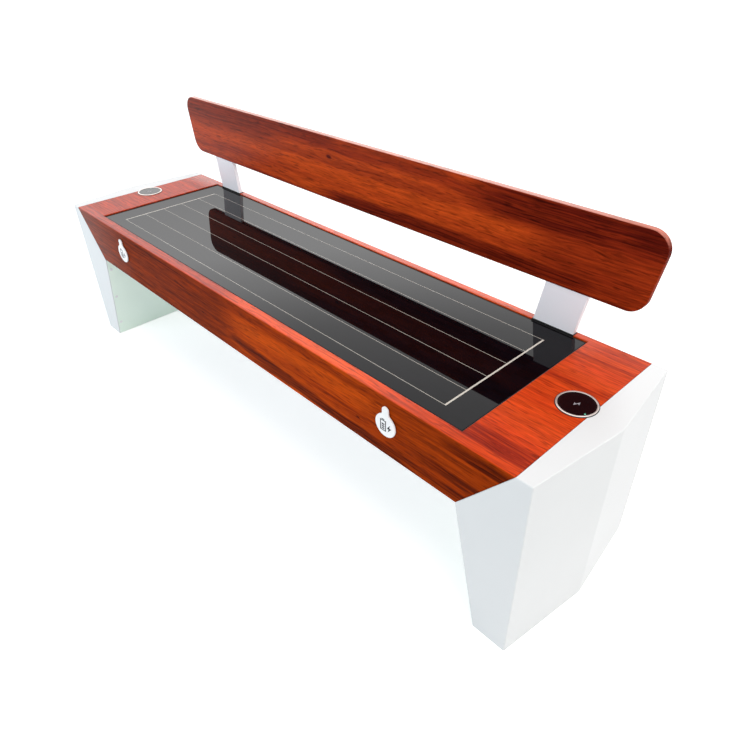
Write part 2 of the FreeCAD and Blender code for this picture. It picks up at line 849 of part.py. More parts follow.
# USB socket with a cover that hangs from a pin in its tab
def usb_cover(x):
    disc = disc_y(x, usb_z, cover_front, cover_back, cover_radius)
    half = cover_tab_width / 2
    tab_end = disc_y(x, pivot_z, cover_front, cover_back, half)
    tab = box(x - half, x + half, cover_front, cover_back, usb_z, pivot_z)
    body = joined(disc, tab, tab_end)
    necks = long_edges(body, Vec(0, 1, 0), lambda middle: usb_z + cover_radius / 2 < middle.z < pivot_z
                       and abs(abs(middle.x - x) - half) < 0.5)
    body = body.makeFillet(cover_neck_radius, necks)
    body = body.cut(disc_y(x, pivot_z, cover_front - past, cover_back + past, pivot_radius + pivot_clearance))
    return body.cut(disc_y(x, pivot_z, cover_front - past, cover_front + pivot_head_thick,
                           pivot_head_radius + pivot_head_clearance))


def usb_hinge_pin(x):
    """Pin with a flush head in front and a spacing collar behind the tab."""
    head_back = cover_front + pivot_head_thick - pivot_head_play
    shank = disc_y(x, pivot_z, cover_front, front_y + sheet, pivot_radius - pivot_clearance / 2)
    head = disc_y(x, pivot_z, cover_front, head_back, pivot_head_radius)
    collar = disc_y(x, pivot_z, cover_back + cover_gap / 2, front_y, pivot_collar_radius)
    tail = disc_y(x, pivot_z, front_y + sheet, front_y + sheet + pivot_head_thick, pivot_head_radius)
    return joined(shank, head, collar, tail)


def usb_bezel(x):
    flange = disc_y(x, usb_z, front_y - bezel_thick, front_y, bezel_radius)
    sleeve = disc_y(x, usb_z, front_y, front_y + socket_depth, socket_radius)
    bore = disc_y(x, usb_z, front_y - bezel_thick - past, front_y + socket_depth + past,
                  socket_radius - socket_wall)
    return flange.fuse(sleeve).cut(bore).removeSplitter()


def usb_ports(x):
    face = front_y - bezel_thick + socket_recess
    back = front_y + socket_depth
    body = disc_y(x, usb_z, face, back, socket_radius - socket_wall - pivot_clearance)
    for side in (-1, 1):
        z = usb_z + side * port_pitch / 2
        body = body.cut(box(x - port_width / 2, x + port_width / 2, face - past, face + port_depth,
                            z - port_height / 2, z + port_height / 2))
        tongue_top = z + port_height / 2 - tongue_gap
        tongue = box(x - tongue_width / 2, x + tongue_width / 2, face + port_depth - tongue_depth,
                     face + port_depth + past, tongue_top - tongue_thick, tongue_top)
        body = body.fuse(tongue)
    return body.removeSplitter()


def usb_lock_nut(x):
    y0 = front_y + sheet
    nut = disc_y(x, usb_z, y0, y0 + socket_nut_thick, socket_nut_radius)
    return nut.cut(disc_y(x, usb_z, y0 - past, y0 + socket_nut_thick + past, socket_radius + pivot_clearance))


# Battery, controller and wiring on the tray and under the cross members
def battery_pack():
    body = box(battery_x - battery_length / 2, battery_x + battery_length / 2, battery_y - battery_depth / 2,
               battery_y + battery_depth / 2, tray_top, battery_top)
    return body.makeFillet(battery_corner, long_edges(body, Vec(0, 0, 1), lambda middle: True))


def battery_straps():
    straps = []
    side = battery_depth / 2
    for sign in (-1, 1):
        x0 = battery_x + sign * strap_half_spacing - strap_width / 2
        x1 = x0 + strap_width
        band = box(x0, x1, battery_y - side - strap_sheet, battery_y + side + strap_sheet,
                   tray_top, battery_top + strap_sheet)
        band = band.cut(box(x0 - past, x1 + past, battery_y - side, battery_y + side,
                            tray_top - past, battery_top))
        feet = [box(x0, x1, battery_y + end * side - strap_foot / 2 + end * strap_foot / 2,
                    battery_y + end * side + strap_foot / 2 + end * strap_foot / 2,
                    tray_top, tray_top + strap_sheet) for end in (-1, 1)]
        straps.append(joined(band, *feet))
    return straps


def charge_controller():
    body = box(controller_left, controller_right, controller_y - controller_depth / 2,
               controller_y + controller_depth / 2, tray_top, controller_top)
    return body.makeFillet(controller_corner, long_edges(body, Vec(0, 0, 1), lambda middle: True))


def lead(points, radius):
    """Round lead along straight runs joined by tangent arcs."""
    edges = []
    length = 0.0
    radii = []
    start = points[0]
    for before, corner, after in zip(points, points[1:], points[2:]):
        back, ahead = before - corner, after - corner
        turn = math.pi - back.getAngle(ahead)
        bend = arc_share * min(back.Length, ahead.Length) / math.tan(turn / 2)
        run = bend * math.tan(turn / 2)
        enter = corner + Vec(back).normalize() * run
        leave = corner + Vec(ahead).normalize() * run
        bisector = (Vec(back).normalize() + Vec(ahead).normalize()).normalize()
        middle = corner + bisector * (bend / math.cos(turn / 2) - bend)
        edges.append(Part.LineSegment(start, enter).toShape())
        edges.append(Part.Arc(enter, middle, leave).toShape())
        length += (enter - start).Length + bend * turn
        radii.append(round(bend, 1))
        start = leave
    edges.append(Part.LineSegment(start, points[-1]).toShape())
    length += (points[-1] - start).Length
    spine = Part.Wire(edges)
    profile = Part.Wire(Part.makeCircle(radius, points[0], points[1] - points[0]))
    tube = Part.Wire(spine).makePipeShell([profile], True, False)
    ratio = tube.Volume / (math.pi * radius ** 2 * length)
    print("lead length", round(length, 1), "radii", radii, "volume ratio", round(ratio, 4))
    return tube


def battery_lead():
    start_x = battery_x + battery_length / 2
    high, low = battery_top - battery_socket_drop, controller_top - controller_socket_drop
    step = (controller_left - start_x) / 3
    return lead([Vec(start_x, controller_y, high), Vec(start_x + step, controller_y, high),
                 Vec(controller_left - step, controller_y, low), Vec(controller_left, controller_y, low)],
                power_lead_radius)


def solar_lead():
    """From the box under the panel, round in a wide turn, into the controller's end."""
    start = Vec(junction_x + junction_size / 2, junction_y, rail_top - junction_height / 2)
    end = Vec(controller_right, junction_y, controller_top - controller_socket_drop)
    out = controller_right + solar_lead_reach
    bend_x = out - solar_lead_turn
    return lead([start, Vec(bend_x, junction_y, start.z), Vec(out, junction_y, (start.z + end.z) / 2),
                 Vec(bend_x, junction_y, end.z), end], power_lead_radius)


def usb_lead_places(sign):
    """From the socket down to the tray, back under the front rail, then along to the controller."""
    start = Vec(sign * usb_x, front_y + usb_lead_depth, usb_z - socket_radius)
    foot = Vec(start.x, start.y, floor_lead_z)
    lane = Vec(start.x, lead_lane_y, floor_lead_z)
    if sign > 0:
        end = Vec(controller_right, controller_y - usb_socket_offset, floor_lead_z)
        return [start, foot, lane, end + Vec(lead_straight * 2, 0, 0), end]
    end = Vec(controller_left, controller_y - usb_socket_offset, floor_lead_z)
    return [start, foot, lane, Vec(end.x - lead_straight * 3, lane.y, floor_lead_z),
            end - Vec(lead_straight, 0, 0), end]


def charger_lead_places(sign):
    """From the cup's side, down past the panel, under the cross members and down to the controller."""
    start = Vec(sign * (charger_x - charger_sleeve_radius), charger_y,
                charger_sleeve_foot + charger_lead_rise)
    out = Vec(sign * (glass_half_length - charger_lead_bend), charger_y, start.z)
    under = Vec(sign * (glass_half_length - charger_lead_dip), charger_y, lead_level)
    side_x = controller_right if sign > 0 else controller_left
    end = Vec(side_x, charger_y, controller_top - charger_socket_drop)
    return [start, out, under, Vec(side_x + sign * lead_straight * 3, charger_y, lead_level),
            end + Vec(sign * lead_straight, 0, 0), end]


def usb_leads():
    return [lead(usb_lead_places(sign), signal_lead_radius) for sign in (-1, 1)]


def charger_leads():
    return [lead(charger_lead_places(sign), signal_lead_radius) for sign in (-1, 1)]


def cable_clips():
    """Saddles on the tray for the socket lead and under the cross members for the charger leads."""
    hole = signal_lead_radius + lead_clearance
    half = hole + clip_wall
    clips = []
    for x in floor_clip_places:
        block = box(x - clip_width / 2, x + clip_width / 2, lead_lane_y - half, lead_lane_y + half,
                    tray_top, floor_lead_z + half)
        clips.append(block.cut(disc_x(lead_lane_y, floor_lead_z, x - clip_width, x + clip_width, hole)))
    for x in hanging_clip_places:
        block = box(x - clip_width / 2, x + clip_width / 2, charger_y - half, charger_y + half,
                    lead_level - half, rail_top - cross_tube)
        clips.append(block.cut(disc_x(charger_y, lead_level, x - clip_width, x + clip_width, hole)))
    return clips


nodes = {
    "seat_cover": seat_cover(),
    "seat_front_rail": seat_front_rail(),
    "seat_rear_rail": seat_rear_rail(),
    "seat_cross_members": group(seat_cross_members()),
    "seat_bottom_tray": seat_bottom_tray(),
    "bottom_tray_screws": group(bottom_tray_screws()),
    "solar_glass": panel_box(glass_bottom, glass_top),
    "solar_base_panel": panel_box(rail_top, base_top),
    "solar_cell_strips": group(solar_cell_strips()),
    "cell_ribbons": group(cell_ribbons()),
    "glass_gasket": glass_gasket(),
    "solar_junction_box": solar_junction_box(),
    "backrest_front_shell": backrest_front_shell(),
    "backrest_rear_cover": backrest_rear_cover(),
    "backrest_stiffeners": group(backrest_stiffeners()),
    "backrest_rivets": group(backrest_rivets()),
    "battery_pack": battery_pack(),
    "battery_straps": group(battery_straps()),
    "charge_controller": charge_controller(),
    "battery_lead": battery_lead(),
    "solar_lead": solar_lead(),
    "usb_leads": group(usb_leads()),
    "charger_leads": group(charger_leads()),
    "cable_clips": group(cable_clips()),
}

# Parts built once for the right-hand side and mirrored for the left
both_sides = {
    "leg_{}_shell": leg_shell(),
    "leg_{}_inner_panel": leg_inner_panel(),
    "leg_{}_base_plate": leg_base_plate(),
    "leg_{}_cross_plate": leg_cross_plate(),
    "backrest_strut_{}": backrest_strut(),
}
for name, shape in both_sides.items():
    nodes[name.format("right")] = shape
    nodes[name.format("left")] = other_side(shape)

# Fasteners of both sides share a node
paired_fasteners = {
    "leg_panel_screws": leg_panel_screws(),
    "frame_bolts": frame_bolts(),
    "strut_bolts": strut_bolts(),
    "backrest_bolts": backrest_bolts(),
}
for name, shapes in paired_fasteners.items():
    nodes[name] = group(shapes + [other_side(shape) for shape in shapes])

for side, sign in (("left", -1), ("right", 1)):
    nodes["charger_" + side + "_ring"] = charger_ring(sign * charger_x)
    nodes["charger_" + side + "_pad"] = charger_pad(sign * charger_x)
    nodes["charger_" + side + "_housing"] = charger_housing(sign * charger_x)
    nodes["charger_" + side + "_coil"] = charger_coil(sign * charger_x)
    nodes["charger_" + side + "_lock_nut"] = charger_lock_nut(sign * charger_x)
    nodes["charger_" + side + "_light"] = charger_light(sign * charger_x)
    nodes["usb_" + side + "_cover"] = usb_cover(sign * usb_x)
    nodes["usb_" + side + "_hinge_pin"] = usb_hinge_pin(sign * usb_x)
    nodes["usb_" + side + "_bezel"] = usb_bezel(sign * usb_x)
    nodes["usb_" + side + "_ports"] = usb_ports(sign * usb_x)
    nodes["usb_" + side + "_lock_nut"] = usb_lock_nut(sign * usb_x)

os.makedirs("parts", exist_ok=True)
for name, shape in nodes.items():
    if not shape.isValid() or shape.Volume <= 0:
        raise RuntimeError("bad solid in " + name)
    shape.exportStep("parts/" + name + ".step")
print(len(nodes), "nodes,", sum(len(shape.Solids) for shape in nodes.values()), "solids")
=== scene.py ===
import json
import math

import bmesh
import bpy
from bpy.props import FloatProperty, FloatVectorProperty, PointerProperty
from mathutils import Matrix, Vector


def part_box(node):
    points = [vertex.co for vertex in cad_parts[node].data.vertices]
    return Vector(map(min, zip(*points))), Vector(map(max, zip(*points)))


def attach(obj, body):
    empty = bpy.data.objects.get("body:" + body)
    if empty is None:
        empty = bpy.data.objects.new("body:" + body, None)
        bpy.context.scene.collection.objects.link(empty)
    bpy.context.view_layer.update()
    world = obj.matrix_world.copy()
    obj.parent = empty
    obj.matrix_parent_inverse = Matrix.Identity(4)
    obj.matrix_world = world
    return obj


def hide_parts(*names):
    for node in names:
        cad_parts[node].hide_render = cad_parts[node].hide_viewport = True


bl_info = {
    "name": "Solar charging bench",
    "version": (1, 0, 0),
    "blender": (4, 5, 0),
    "location": "3D View > Sidebar > Bench",
    "description": "Gives the packed solar charging bench its modelled surfaces and finishes",
    "category": "Object",
}

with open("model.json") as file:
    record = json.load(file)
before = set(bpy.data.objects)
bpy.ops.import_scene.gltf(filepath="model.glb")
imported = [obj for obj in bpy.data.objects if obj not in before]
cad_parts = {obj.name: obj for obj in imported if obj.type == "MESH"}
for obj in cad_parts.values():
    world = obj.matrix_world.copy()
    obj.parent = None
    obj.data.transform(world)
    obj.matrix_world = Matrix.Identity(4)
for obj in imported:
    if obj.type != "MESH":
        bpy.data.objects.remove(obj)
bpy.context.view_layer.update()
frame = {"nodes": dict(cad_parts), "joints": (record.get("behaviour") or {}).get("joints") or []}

mm = 0.001
tiny = 0.1 * mm
both_sides = (("left", -1), ("right", 1))
# How much of an axis a direction has that runs along it, and one that leans towards it
mostly = 0.9
partly = 0.2


def corner_places(node, test):
    """X of the corners of a node that a test accepts."""
    return [corner.co.x for corner in frame["nodes"][node].data.vertices if test(corner.co)]


# Places read from the frame
seat_low, seat_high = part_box("seat_cover")
apron_foot_x = max(corner_places("seat_cover", lambda at: at.z < seat_low.z + tiny))
opening_low, opening_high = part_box("glass_gasket")
glass_low, glass_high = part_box("solar_glass")
leg_low, leg_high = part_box("leg_right_shell")
leg_foot_x = min(corner_places("leg_right_shell", lambda at: at.z < tiny))
leg_front_end = leg_low.y + 4 * mm
leg_corner_x = max(corner_places("leg_right_shell", lambda at: at.y < leg_front_end))
leg_slope = (leg_foot_x - leg_low.x) / seat_low.z
liner_low, liner_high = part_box("leg_right_inner_panel")
front_board_low, front_board_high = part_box("backrest_front_shell")
rear_board_low, rear_board_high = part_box("backrest_rear_cover")
strut_low, strut_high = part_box("backrest_strut_right")
ring_low, ring_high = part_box("charger_right_ring")
pad_low, pad_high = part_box("charger_right_pad")
charger_x = (pad_low.x + pad_high.x) / 2
charger_y = (pad_low.y + pad_high.y) / 2
cover_low, cover_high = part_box("usb_right_cover")
bezel_low, bezel_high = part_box("usb_right_bezel")
port_low, port_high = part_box("usb_right_ports")
usb_x = (bezel_low.x + bezel_high.x) / 2
usb_z = (bezel_low.z + bezel_high.z) / 2
pivot_z = next(joint for joint in frame["joints"] if "right" in joint["name"])["pos_m"][2]
pin_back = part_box("usb_right_hinge_pin")[1].y

# Hinge pins and solar cells
pin_radius = 2.5 * mm
cell_length = 156 * mm

# Studio view
camera_place = (1.2124, -0.8679, 1.1591)
camera_forward = (-0.59518, 0.55517, -0.58099)
camera_up = (-0.4113, 0.41065, 0.81375)
camera_lens = 30.14
camera_sensor = 36.0
camera_reach = 200.0
floor_half_side = 30.0


def linear(colour):
    """An sRGB hex colour as linear red, green and blue."""
    parts = [int(colour[place:place + 2], 16) / 255 for place in (1, 3, 5)]
    return [part / 12.92 if part <= 0.04045 else ((part + 0.055) / 1.055) ** 2.4 for part in parts]


def length(name, description, size):
    """A length that a user can change, with its default in millimetres."""
    return FloatProperty(name=name, description=description, default=size * mm, unit="LENGTH")


def tint(name, description, colour):
    """A colour that a user can change, with its default in hex."""
    return FloatVectorProperty(name=name, description=description, default=linear(colour), size=3,
                               subtype="COLOR")


class BenchSizes(bpy.types.PropertyGroup):
    """Sizes of the modelled surfaces that the frame doesn't give."""

    seat_sheet: length("Seat sheet", "Thickness of the folded seat and leg sheet", 2.5)
    seat_fold: length("Seat fold", "Outer radius of the seat's folded edges", 3.0)
    opening_fold: length("Opening fold", "Radius where the top turns down to the glass", 2.8)
    opening_lip: length("Opening lip", "Depth of the lip round the glass", 11.0)
    seat_flange: length("Seat flange", "Width of the aprons' lower flanges", 20.0)
    leg_fold: length("Leg fold", "Outer radius of the legs' folded edges", 2.8)
    leg_seam: length("Leg seam", "Gap between the seat's top and a leg's cap", 0.8)
    board_sheet: length("Board sheet", "Thickness of the backrest's two skins", 1.5)
    board_corner: length("Board corner", "Radius of the backrest's four corners", 40.0)
    board_fold: length("Board fold", "Radius round the backrest's two faces", 1.6)
    board_lean: length("Board lean", "How far the board's lower corners stand inwards", 26.0)
    strut_width: length("Strut width", "Width of the flat struts", 100.0)
    strut_gap: length("Strut gap", "Clearance round a strut in its slots", 0.5)
    seal_width: length("Seal width", "How far the rubber stands out round a strut", 2.2)
    ring_width: length("Ring width", "Width of a charger's polished rim", 3.3)
    pad_rim: length("Pad rim", "Width of the rim round a charging pad", 2.0)
    edge: length("Cut edge", "Rounding of cut sheet edges", 0.3)


class BenchColours(bpy.types.PropertyGroup):
    """Main colours of the finishes."""

    # The top's colours are painted lighter than the aprons' below them, as painted light from above.
    top_light: tint("Top, light grain", "Lightest bands of the seat's top", "#EA5A1E")
    top_middle: tint("Top, grain", "Ground colour of the seat's top", "#DC4719")
    top_dark: tint("Top, streaks", "Dark streaks of the seat's top", "#84200D")
    side_light: tint("Apron, light grain", "Lightest bands of the aprons", "#BA4809")
    side_middle: tint("Apron, grain", "Ground colour of the aprons", "#A23804")
    side_dark: tint("Apron, streaks", "Dark streaks of the aprons", "#4A1202")
    board_light: tint("Board, light grain", "Lightest bands of the backrest", "#C64A18")
    board_middle: tint("Board, grain", "Ground colour of the backrest", "#A23414")
    board_dark: tint("Board, streaks", "Dark streaks of the backrest", "#56130A")
    # The board edge's colours are painted light from above: they make the backrest's upper edge lighter than
    # its face.
    lit_edge_grain: tint("Board edge", "Bleached upper edge of the backrest", "#D08A78")
    lit_edge_streaks: tint("Board edge, streaks", "Streaks of the bleached edge", "#B86A58")
    leg_white: tint("White legs", "Powder coat of the legs", "#DADDDE")
    # The inner panels' and the struts' whites are copies of the legs' powder coat, painted lighter as painted
    # light in their shade; the inner panels' is also painted green for the green light under the seat.
    liner_white_painted_light: tint("White inner panels", "Powder coat inside the legs", "#EEFDF2")
    strut_white: tint("White struts", "Powder coat of the struts", "#FCFAFF")
    floor: tint("Floor", "Plain studio floor", "#F2F2F2")


# Modelling helpers
def activate(piece=None):
    """Leave edit mode, deselect everything and make one object active."""
    if bpy.context.mode != "OBJECT":
        bpy.ops.object.mode_set(mode="OBJECT")
    bpy.ops.object.select_all(action="DESELECT")
    if piece:
        piece.select_set(True)
        bpy.context.view_layer.objects.active = piece


def settled(name):
    """Name the active object and move its place into its mesh."""
    bpy.ops.object.transform_apply(location=True, rotation=True, scale=True)
    piece = bpy.context.object
    piece.name = name
    piece.data.name = name
    return piece


def block(name, low, high):
    activate()
    low, high = Vector(low), Vector(high)
    bpy.ops.mesh.primitive_cube_add(size=1, location=(low + high) / 2, scale=high - low)
    return settled(name)


def disc(name, centre, radius, start, end, axis="Z", corners=96):
    """A cylinder along Z or Y, from start to end on it; centre gives the other two places."""
    activate()
    middle = Vector(centre)
    middle["XYZ".index(axis)] = (start + end) / 2
    turn = (math.pi / 2, 0, 0) if axis == "Y" else (0, 0, 0)
    bpy.ops.mesh.primitive_cylinder_add(vertices=corners, radius=radius, depth=abs(end - start),
                                        location=middle, rotation=turn)
    return settled(name)


def pick(piece, kind, test):
    """Select in edit mode what the test accepts, by its middle and its direction or normal."""
    if bpy.context.mode != "EDIT_MESH":
        activate(piece)
        bpy.ops.object.mode_set(mode="EDIT")
    bpy.ops.mesh.select_mode(type=kind)
    bpy.ops.mesh.select_all(action="DESELECT")
    mesh = bmesh.from_edit_mesh(piece.data)
    for item in {"VERT": mesh.verts, "EDGE": mesh.edges, "FACE": mesh.faces}[kind]:
        if kind == "VERT":
            place, way = item.co, item.normal
        elif kind == "EDGE":
            start, end = item.verts
            place, way = (start.co + end.co) / 2, (end.co - start.co).normalized()
        else:
            place, way = item.calc_center_median(), item.normal
        if test(place, way):
            item.select_set(True)
    mesh.select_flush_mode()
    bmesh.update_edit_mesh(piece.data)


def shift(x=0.0, y=0.0, z=0.0):
    bpy.ops.transform.translate(value=(x, y, z))


def extrude(x=0.0, y=0.0, z=0.0):
    bpy.ops.mesh.extrude_region_move(TRANSFORM_OT_translate={"value": (x, y, z)})


def round_picked(radius, steps):
    bpy.ops.mesh.bevel(offset=radius, segments=steps, affect="EDGES", clamp_overlap=False)


def apply_modifier(piece, kind, **settings):
    activate(piece)
    modifier = piece.modifiers.new(kind.title(), kind)
    for name, value in settings.items():
        setattr(modifier, name, value)
    bpy.ops.object.modifier_apply(modifier=modifier.name)


def combine(piece, operation, *others):
    """Join other objects to a piece or cut them out of it."""
    for other in others:
        apply_modifier(piece, "BOOLEAN", operation=operation, solver="EXACT", object=other)
        bpy.data.objects.remove(other)


def thicken(piece, thickness):
    """Give an open skin its wall, inwards from its outside."""
    apply_modifier(piece, "SOLIDIFY", thickness=thickness, offset=-1, use_even_offset=True)


def soften(piece, radius, steps=2):
    """Round the sharp edges of a finished piece, shade it smooth and keep its large faces flat."""
    if radius:
        apply_modifier(piece, "BEVEL", width=radius, segments=steps, limit_method="ANGLE",
                       angle_limit=math.radians(35))
    activate(piece)
    bpy.ops.object.shade_smooth_by_angle(angle=math.radians(46))
    apply_modifier(piece, "WEIGHTED_NORMAL", keep_sharp=True)


def mirrored(piece, name):
    """A copy on the other side of the bench, with its normals turned outwards again."""
    activate(piece)
    bpy.ops.object.duplicate()
    bpy.context.object.scale.x = -1
    copy = settled(name)
    bpy.ops.object.mode_set(mode="EDIT")
    bpy.ops.mesh.select_all(action="SELECT")
    bpy.ops.mesh.normals_make_consistent(inside=False)
    soften(copy, 0)
    return copy


def joined(parts, name):
    """Several objects as one piece."""
    activate(parts[0])
    for part in parts:
        part.select_set(True)
    bpy.ops.object.join()
    return settled(name)


def islands(node):
    """The lowest and highest corner of each solid of a CAD node, from left to right."""
    mesh = bmesh.new()
    mesh.from_mesh(frame["nodes"][node].data)
    bmesh.ops.remove_doubles(mesh, verts=mesh.verts, dist=mm / 1000)
    left = set(mesh.verts)
    boxes = []
    while left:
        reached = [left.pop()]
        corners = []
        while reached:
            corner = reached.pop()
            corners.append(corner.co.copy())
            for link in corner.link_edges:
                other = link.other_vert(corner)
                if other in left:
                    left.remove(other)
                    reached.append(other)
        boxes.append([Vector([limit(corner[axis] for corner in corners) for axis in range(3)])
                      for limit in (min, max)])
    mesh.free()
    return sorted(boxes, key=lambda pair: tuple(round(value, 4) for value in pair[0]))


def copies_at(model, name, places):
    """Copies of a fastener modelled at the origin, as one piece; a place is a point and a direction."""
    made = []
    for place, way in places:
        mesh = model.data.copy()
        turn = Vector(way).to_track_quat("Z", "Y").to_matrix().to_4x4()
        mesh.transform(Matrix.Translation(place) @ turn)
        copy = bpy.data.objects.new(name, mesh)
        bpy.context.scene.collection.objects.link(copy)
        made.append(copy)
    bpy.data.objects.remove(model)
    return joined(made, name)


def sign(name, outlines, centre, right, up):
    """A flat printed sign from closed outlines in millimetres, with the inner ones left open."""
    half_thickness = 0.03 * mm
    activate()
    curve = bpy.data.curves.new(name, "CURVE")
    curve.dimensions = "2D"
    curve.fill_mode = "BOTH"
    curve.extrude = half_thickness
    for outline in outlines:
        spline = curve.splines.new("POLY")
        spline.points.add(len(outline) - 1)
        spline.use_cyclic_u = True
        for point, (u, v) in zip(spline.points, outline):
            point.co = (u * mm, v * mm, 0, 1)
    piece = bpy.data.objects.new(name, curve)
    bpy.context.scene.collection.objects.link(piece)
    activate(piece)
    bpy.ops.object.convert(target="MESH")
    right, up = Vector(right), Vector(up)
    turn = Matrix((right, up, right.cross(up))).transposed().to_4x4()
    bpy.context.object.matrix_world = Matrix.Translation(Vector(centre)) @ turn
    return settled(name)


def dress(piece, look, slot, *replaced, body="bench"):
    """Give a finished piece its finish and its body, and hide the nodes it stands for. Its slot is not used.
    """
    activate()
    piece.data.materials.clear()
    piece.data.materials.append(finish(look))
    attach(piece, body)
    if replaced:
        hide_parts(*replaced)


def coat_nodes(look, *names):
    """Give CAD nodes that stay in view a finish of their own."""
    for name in names:
        for place in frame["nodes"][name].material_slots:
            place.material = finish(look)


# Materials
def new_finish(name, constants=None):
    """A material, its nodes and its shader, which takes the values that are the same all over."""
    material = bpy.data.materials.new(name)
    material.use_nodes = True
    bsdf = material.node_tree.nodes["Principled BSDF"]
    for socket, value in (constants or {}).items():
        bsdf.inputs[socket].default_value = value
    return material, material.node_tree, bsdf


def add(tree, kind, inputs=(), stops=None, out=0, **settings):
    """Add a shader node with its settings and give one of its outputs. Inputs are values or outputs, by name
    or in the node's order. That of MapRange is a value, the range that it has and the range that it gets."""
    made = tree.nodes.new("ShaderNode" + kind)
    for name, value in settings.items():
        setattr(made, name, value)
    for socket, value in inputs.items() if isinstance(inputs, dict) else enumerate(inputs):
        if isinstance(value, bpy.types.NodeSocket):
            tree.links.new(value, made.inputs[socket])
        else:
            made.inputs[socket].default_value = value
    if stops:
        ramp = made.color_ramp
        while len(ramp.elements) < len(stops):
            ramp.elements.new(1.0)
        for element, (place, colour) in zip(ramp.elements, stops):
            element.position = place
            element.color = (*colour, 1.0)
    return made.outputs[out]


def grain_field(tree, per_metre, detail=2.0, roughness=0.5, place=None, out=0):
    """A random field from 0 to 1 with so many features in a metre along each axis of the bench."""
    place = place or add(tree, "TexCoord", out="Object")
    spread = add(tree, "Mapping", {"Vector": place, "Scale": per_metre})
    return add(tree, "TexNoise", {"Vector": spread, "Scale": 1.0, "Detail": detail, "Roughness": roughness},
               out=out)


def clouded(tree, colour, share, per_metre):
    """The colour with soft darker clouds, down to a share of it."""
    return add(tree, "ValToRGB", (grain_field(tree, (per_metre,) * 3, 3.0, 0.6),),
               stops=[(0.3, [part * share for part in colour]), (0.7, colour)])


def surface(tree, bsdf, colour, field, roughness, depth):
    """Link a colour, and a roughness range and a relief, so deep in metres, that follow one field."""
    tree.links.new(colour, bsdf.inputs["Base Color"])
    tree.links.new(add(tree, "MapRange", (field, 0, 1, *roughness)), bsdf.inputs["Roughness"])
    tree.links.new(add(tree, "Bump", {"Height": field, "Distance": depth, "Strength": 0.6}),
                   bsdf.inputs["Normal"])


def drifted(tree, place):
    """Let the grain drift by 12 mm over half a metre, and its fibres waver by 2 mm."""
    for per_metre, reach in (((1.9, 6, 6), 24 * mm), ((11, 30, 30), 5 * mm)):
        drift = grain_field(tree, per_metre, 1.0, 0.5, place, out="Color")
        drift = add(tree, "VectorMath", (drift, (0.5, 0.5, 0.5)), operation="SUBTRACT")
        place = add(tree, "VectorMath", (drift, (0, reach, reach), place), operation="MULTIPLY_ADD")
    return place


def parted(tree, place, knots):
    """Part the fibres round each knot, over three times its size, and give the knots' dark share too."""
    knot_share = 0.0
    for knot, size in knots:
        away = add(tree, "VectorMath", (place, knot), operation="SUBTRACT")
        flat = add(tree, "VectorMath", (away, (0.4, 1, 1)), operation="MULTIPLY")
        reach = add(tree, "VectorMath", (flat,), operation="LENGTH", out="Value")
        push = add(tree, "MapRange", (reach, 0, 3 * size, -0.7 * size, 0), interpolation_type="SMOOTHSTEP")
        across = add(tree, "VectorMath", (away, (0, 1, 1)), operation="MULTIPLY")
        across = add(tree, "VectorMath", (across,), operation="NORMALIZE")
        across = add(tree, "VectorMath", {0: across, "Scale": push}, operation="SCALE")
        place = add(tree, "VectorMath", (place, across), operation="ADD")
        core = add(tree, "MapRange", (reach, 0.2 * size, 0.6 * size, 1, 0), interpolation_type="SMOOTHSTEP")
        knot_share = add(tree, "Math", (core, knot_share), operation="MAXIMUM")
    return place, knot_share


def dark_rows(tree, place, along, rows):
    """The share of a place in rows of dark lines. A row has an axis, an edge on it, how far its middle lies
    from that edge and half its width in millimetres, how far it climbs in a metre, where along the bench it
    begins and ends, and its strength."""
    fading = 80 * mm
    row_share = 0.0
    for axis, edge, off, half, climb, begin, end, strength in rows:
        width = half * mm
        middle = add(tree, "Math", (along, climb, edge + off * mm), operation="MULTIPLY_ADD")
        height = add(tree, "SeparateXYZ", (place,), out=axis)
        away = add(tree, "Math", (height, middle), operation="SUBTRACT")
        away = add(tree, "Math", (away,), operation="ABSOLUTE")
        row = add(tree, "MapRange", (away, 0.35 * width, width, 1, 0), interpolation_type="SMOOTHSTEP")
        for limit, way, most in ((begin, fading, strength), (end, -fading, 1)):
            fade = add(tree, "MapRange", (along, limit - way, limit + way, 0, most),
                       interpolation_type="SMOOTHSTEP")
            row = add(tree, "Math", (row, fade), operation="MULTIPLY")
        row_share = add(tree, "Math", (row, row_share), operation="MAXIMUM")
    return row_share


def grain_shares(tree, place, row_share, knot_share):
    """The shares of the light and the dark print. Light bands 60 mm wide stop at the dark rows. Lines 4 mm
    wide are strongest in the rows, and half as strong between the bands."""
    bands = grain_field(tree, (1.1, 17, 17), 2.0, 0.5, place)
    lines = grain_field(tree, (2.2, 230, 230), 2.0, 0.5, place)
    light_share = add(tree, "MapRange", (bands, 0.36, 0.62))
    light_share = add(tree, "MapRange", (row_share, 0, 1, light_share, 0))
    line_share = add(tree, "MapRange", (lines, 0.44, 0.6))
    in_rows = add(tree, "MapRange", (line_share, 0, 1, 0.6, 1))
    in_rows = add(tree, "Math", (in_rows, row_share), operation="MULTIPLY")
    elsewhere = add(tree, "MapRange", (bands, 0.52, 0.38, 0, 0.5))
    elsewhere = add(tree, "Math", (elsewhere, line_share), operation="MULTIPLY")
    dark_share = add(tree, "Math", (in_rows, elsewhere), operation="MAXIMUM")
    return light_share, add(tree, "Math", (dark_share, knot_share), operation="MAXIMUM")


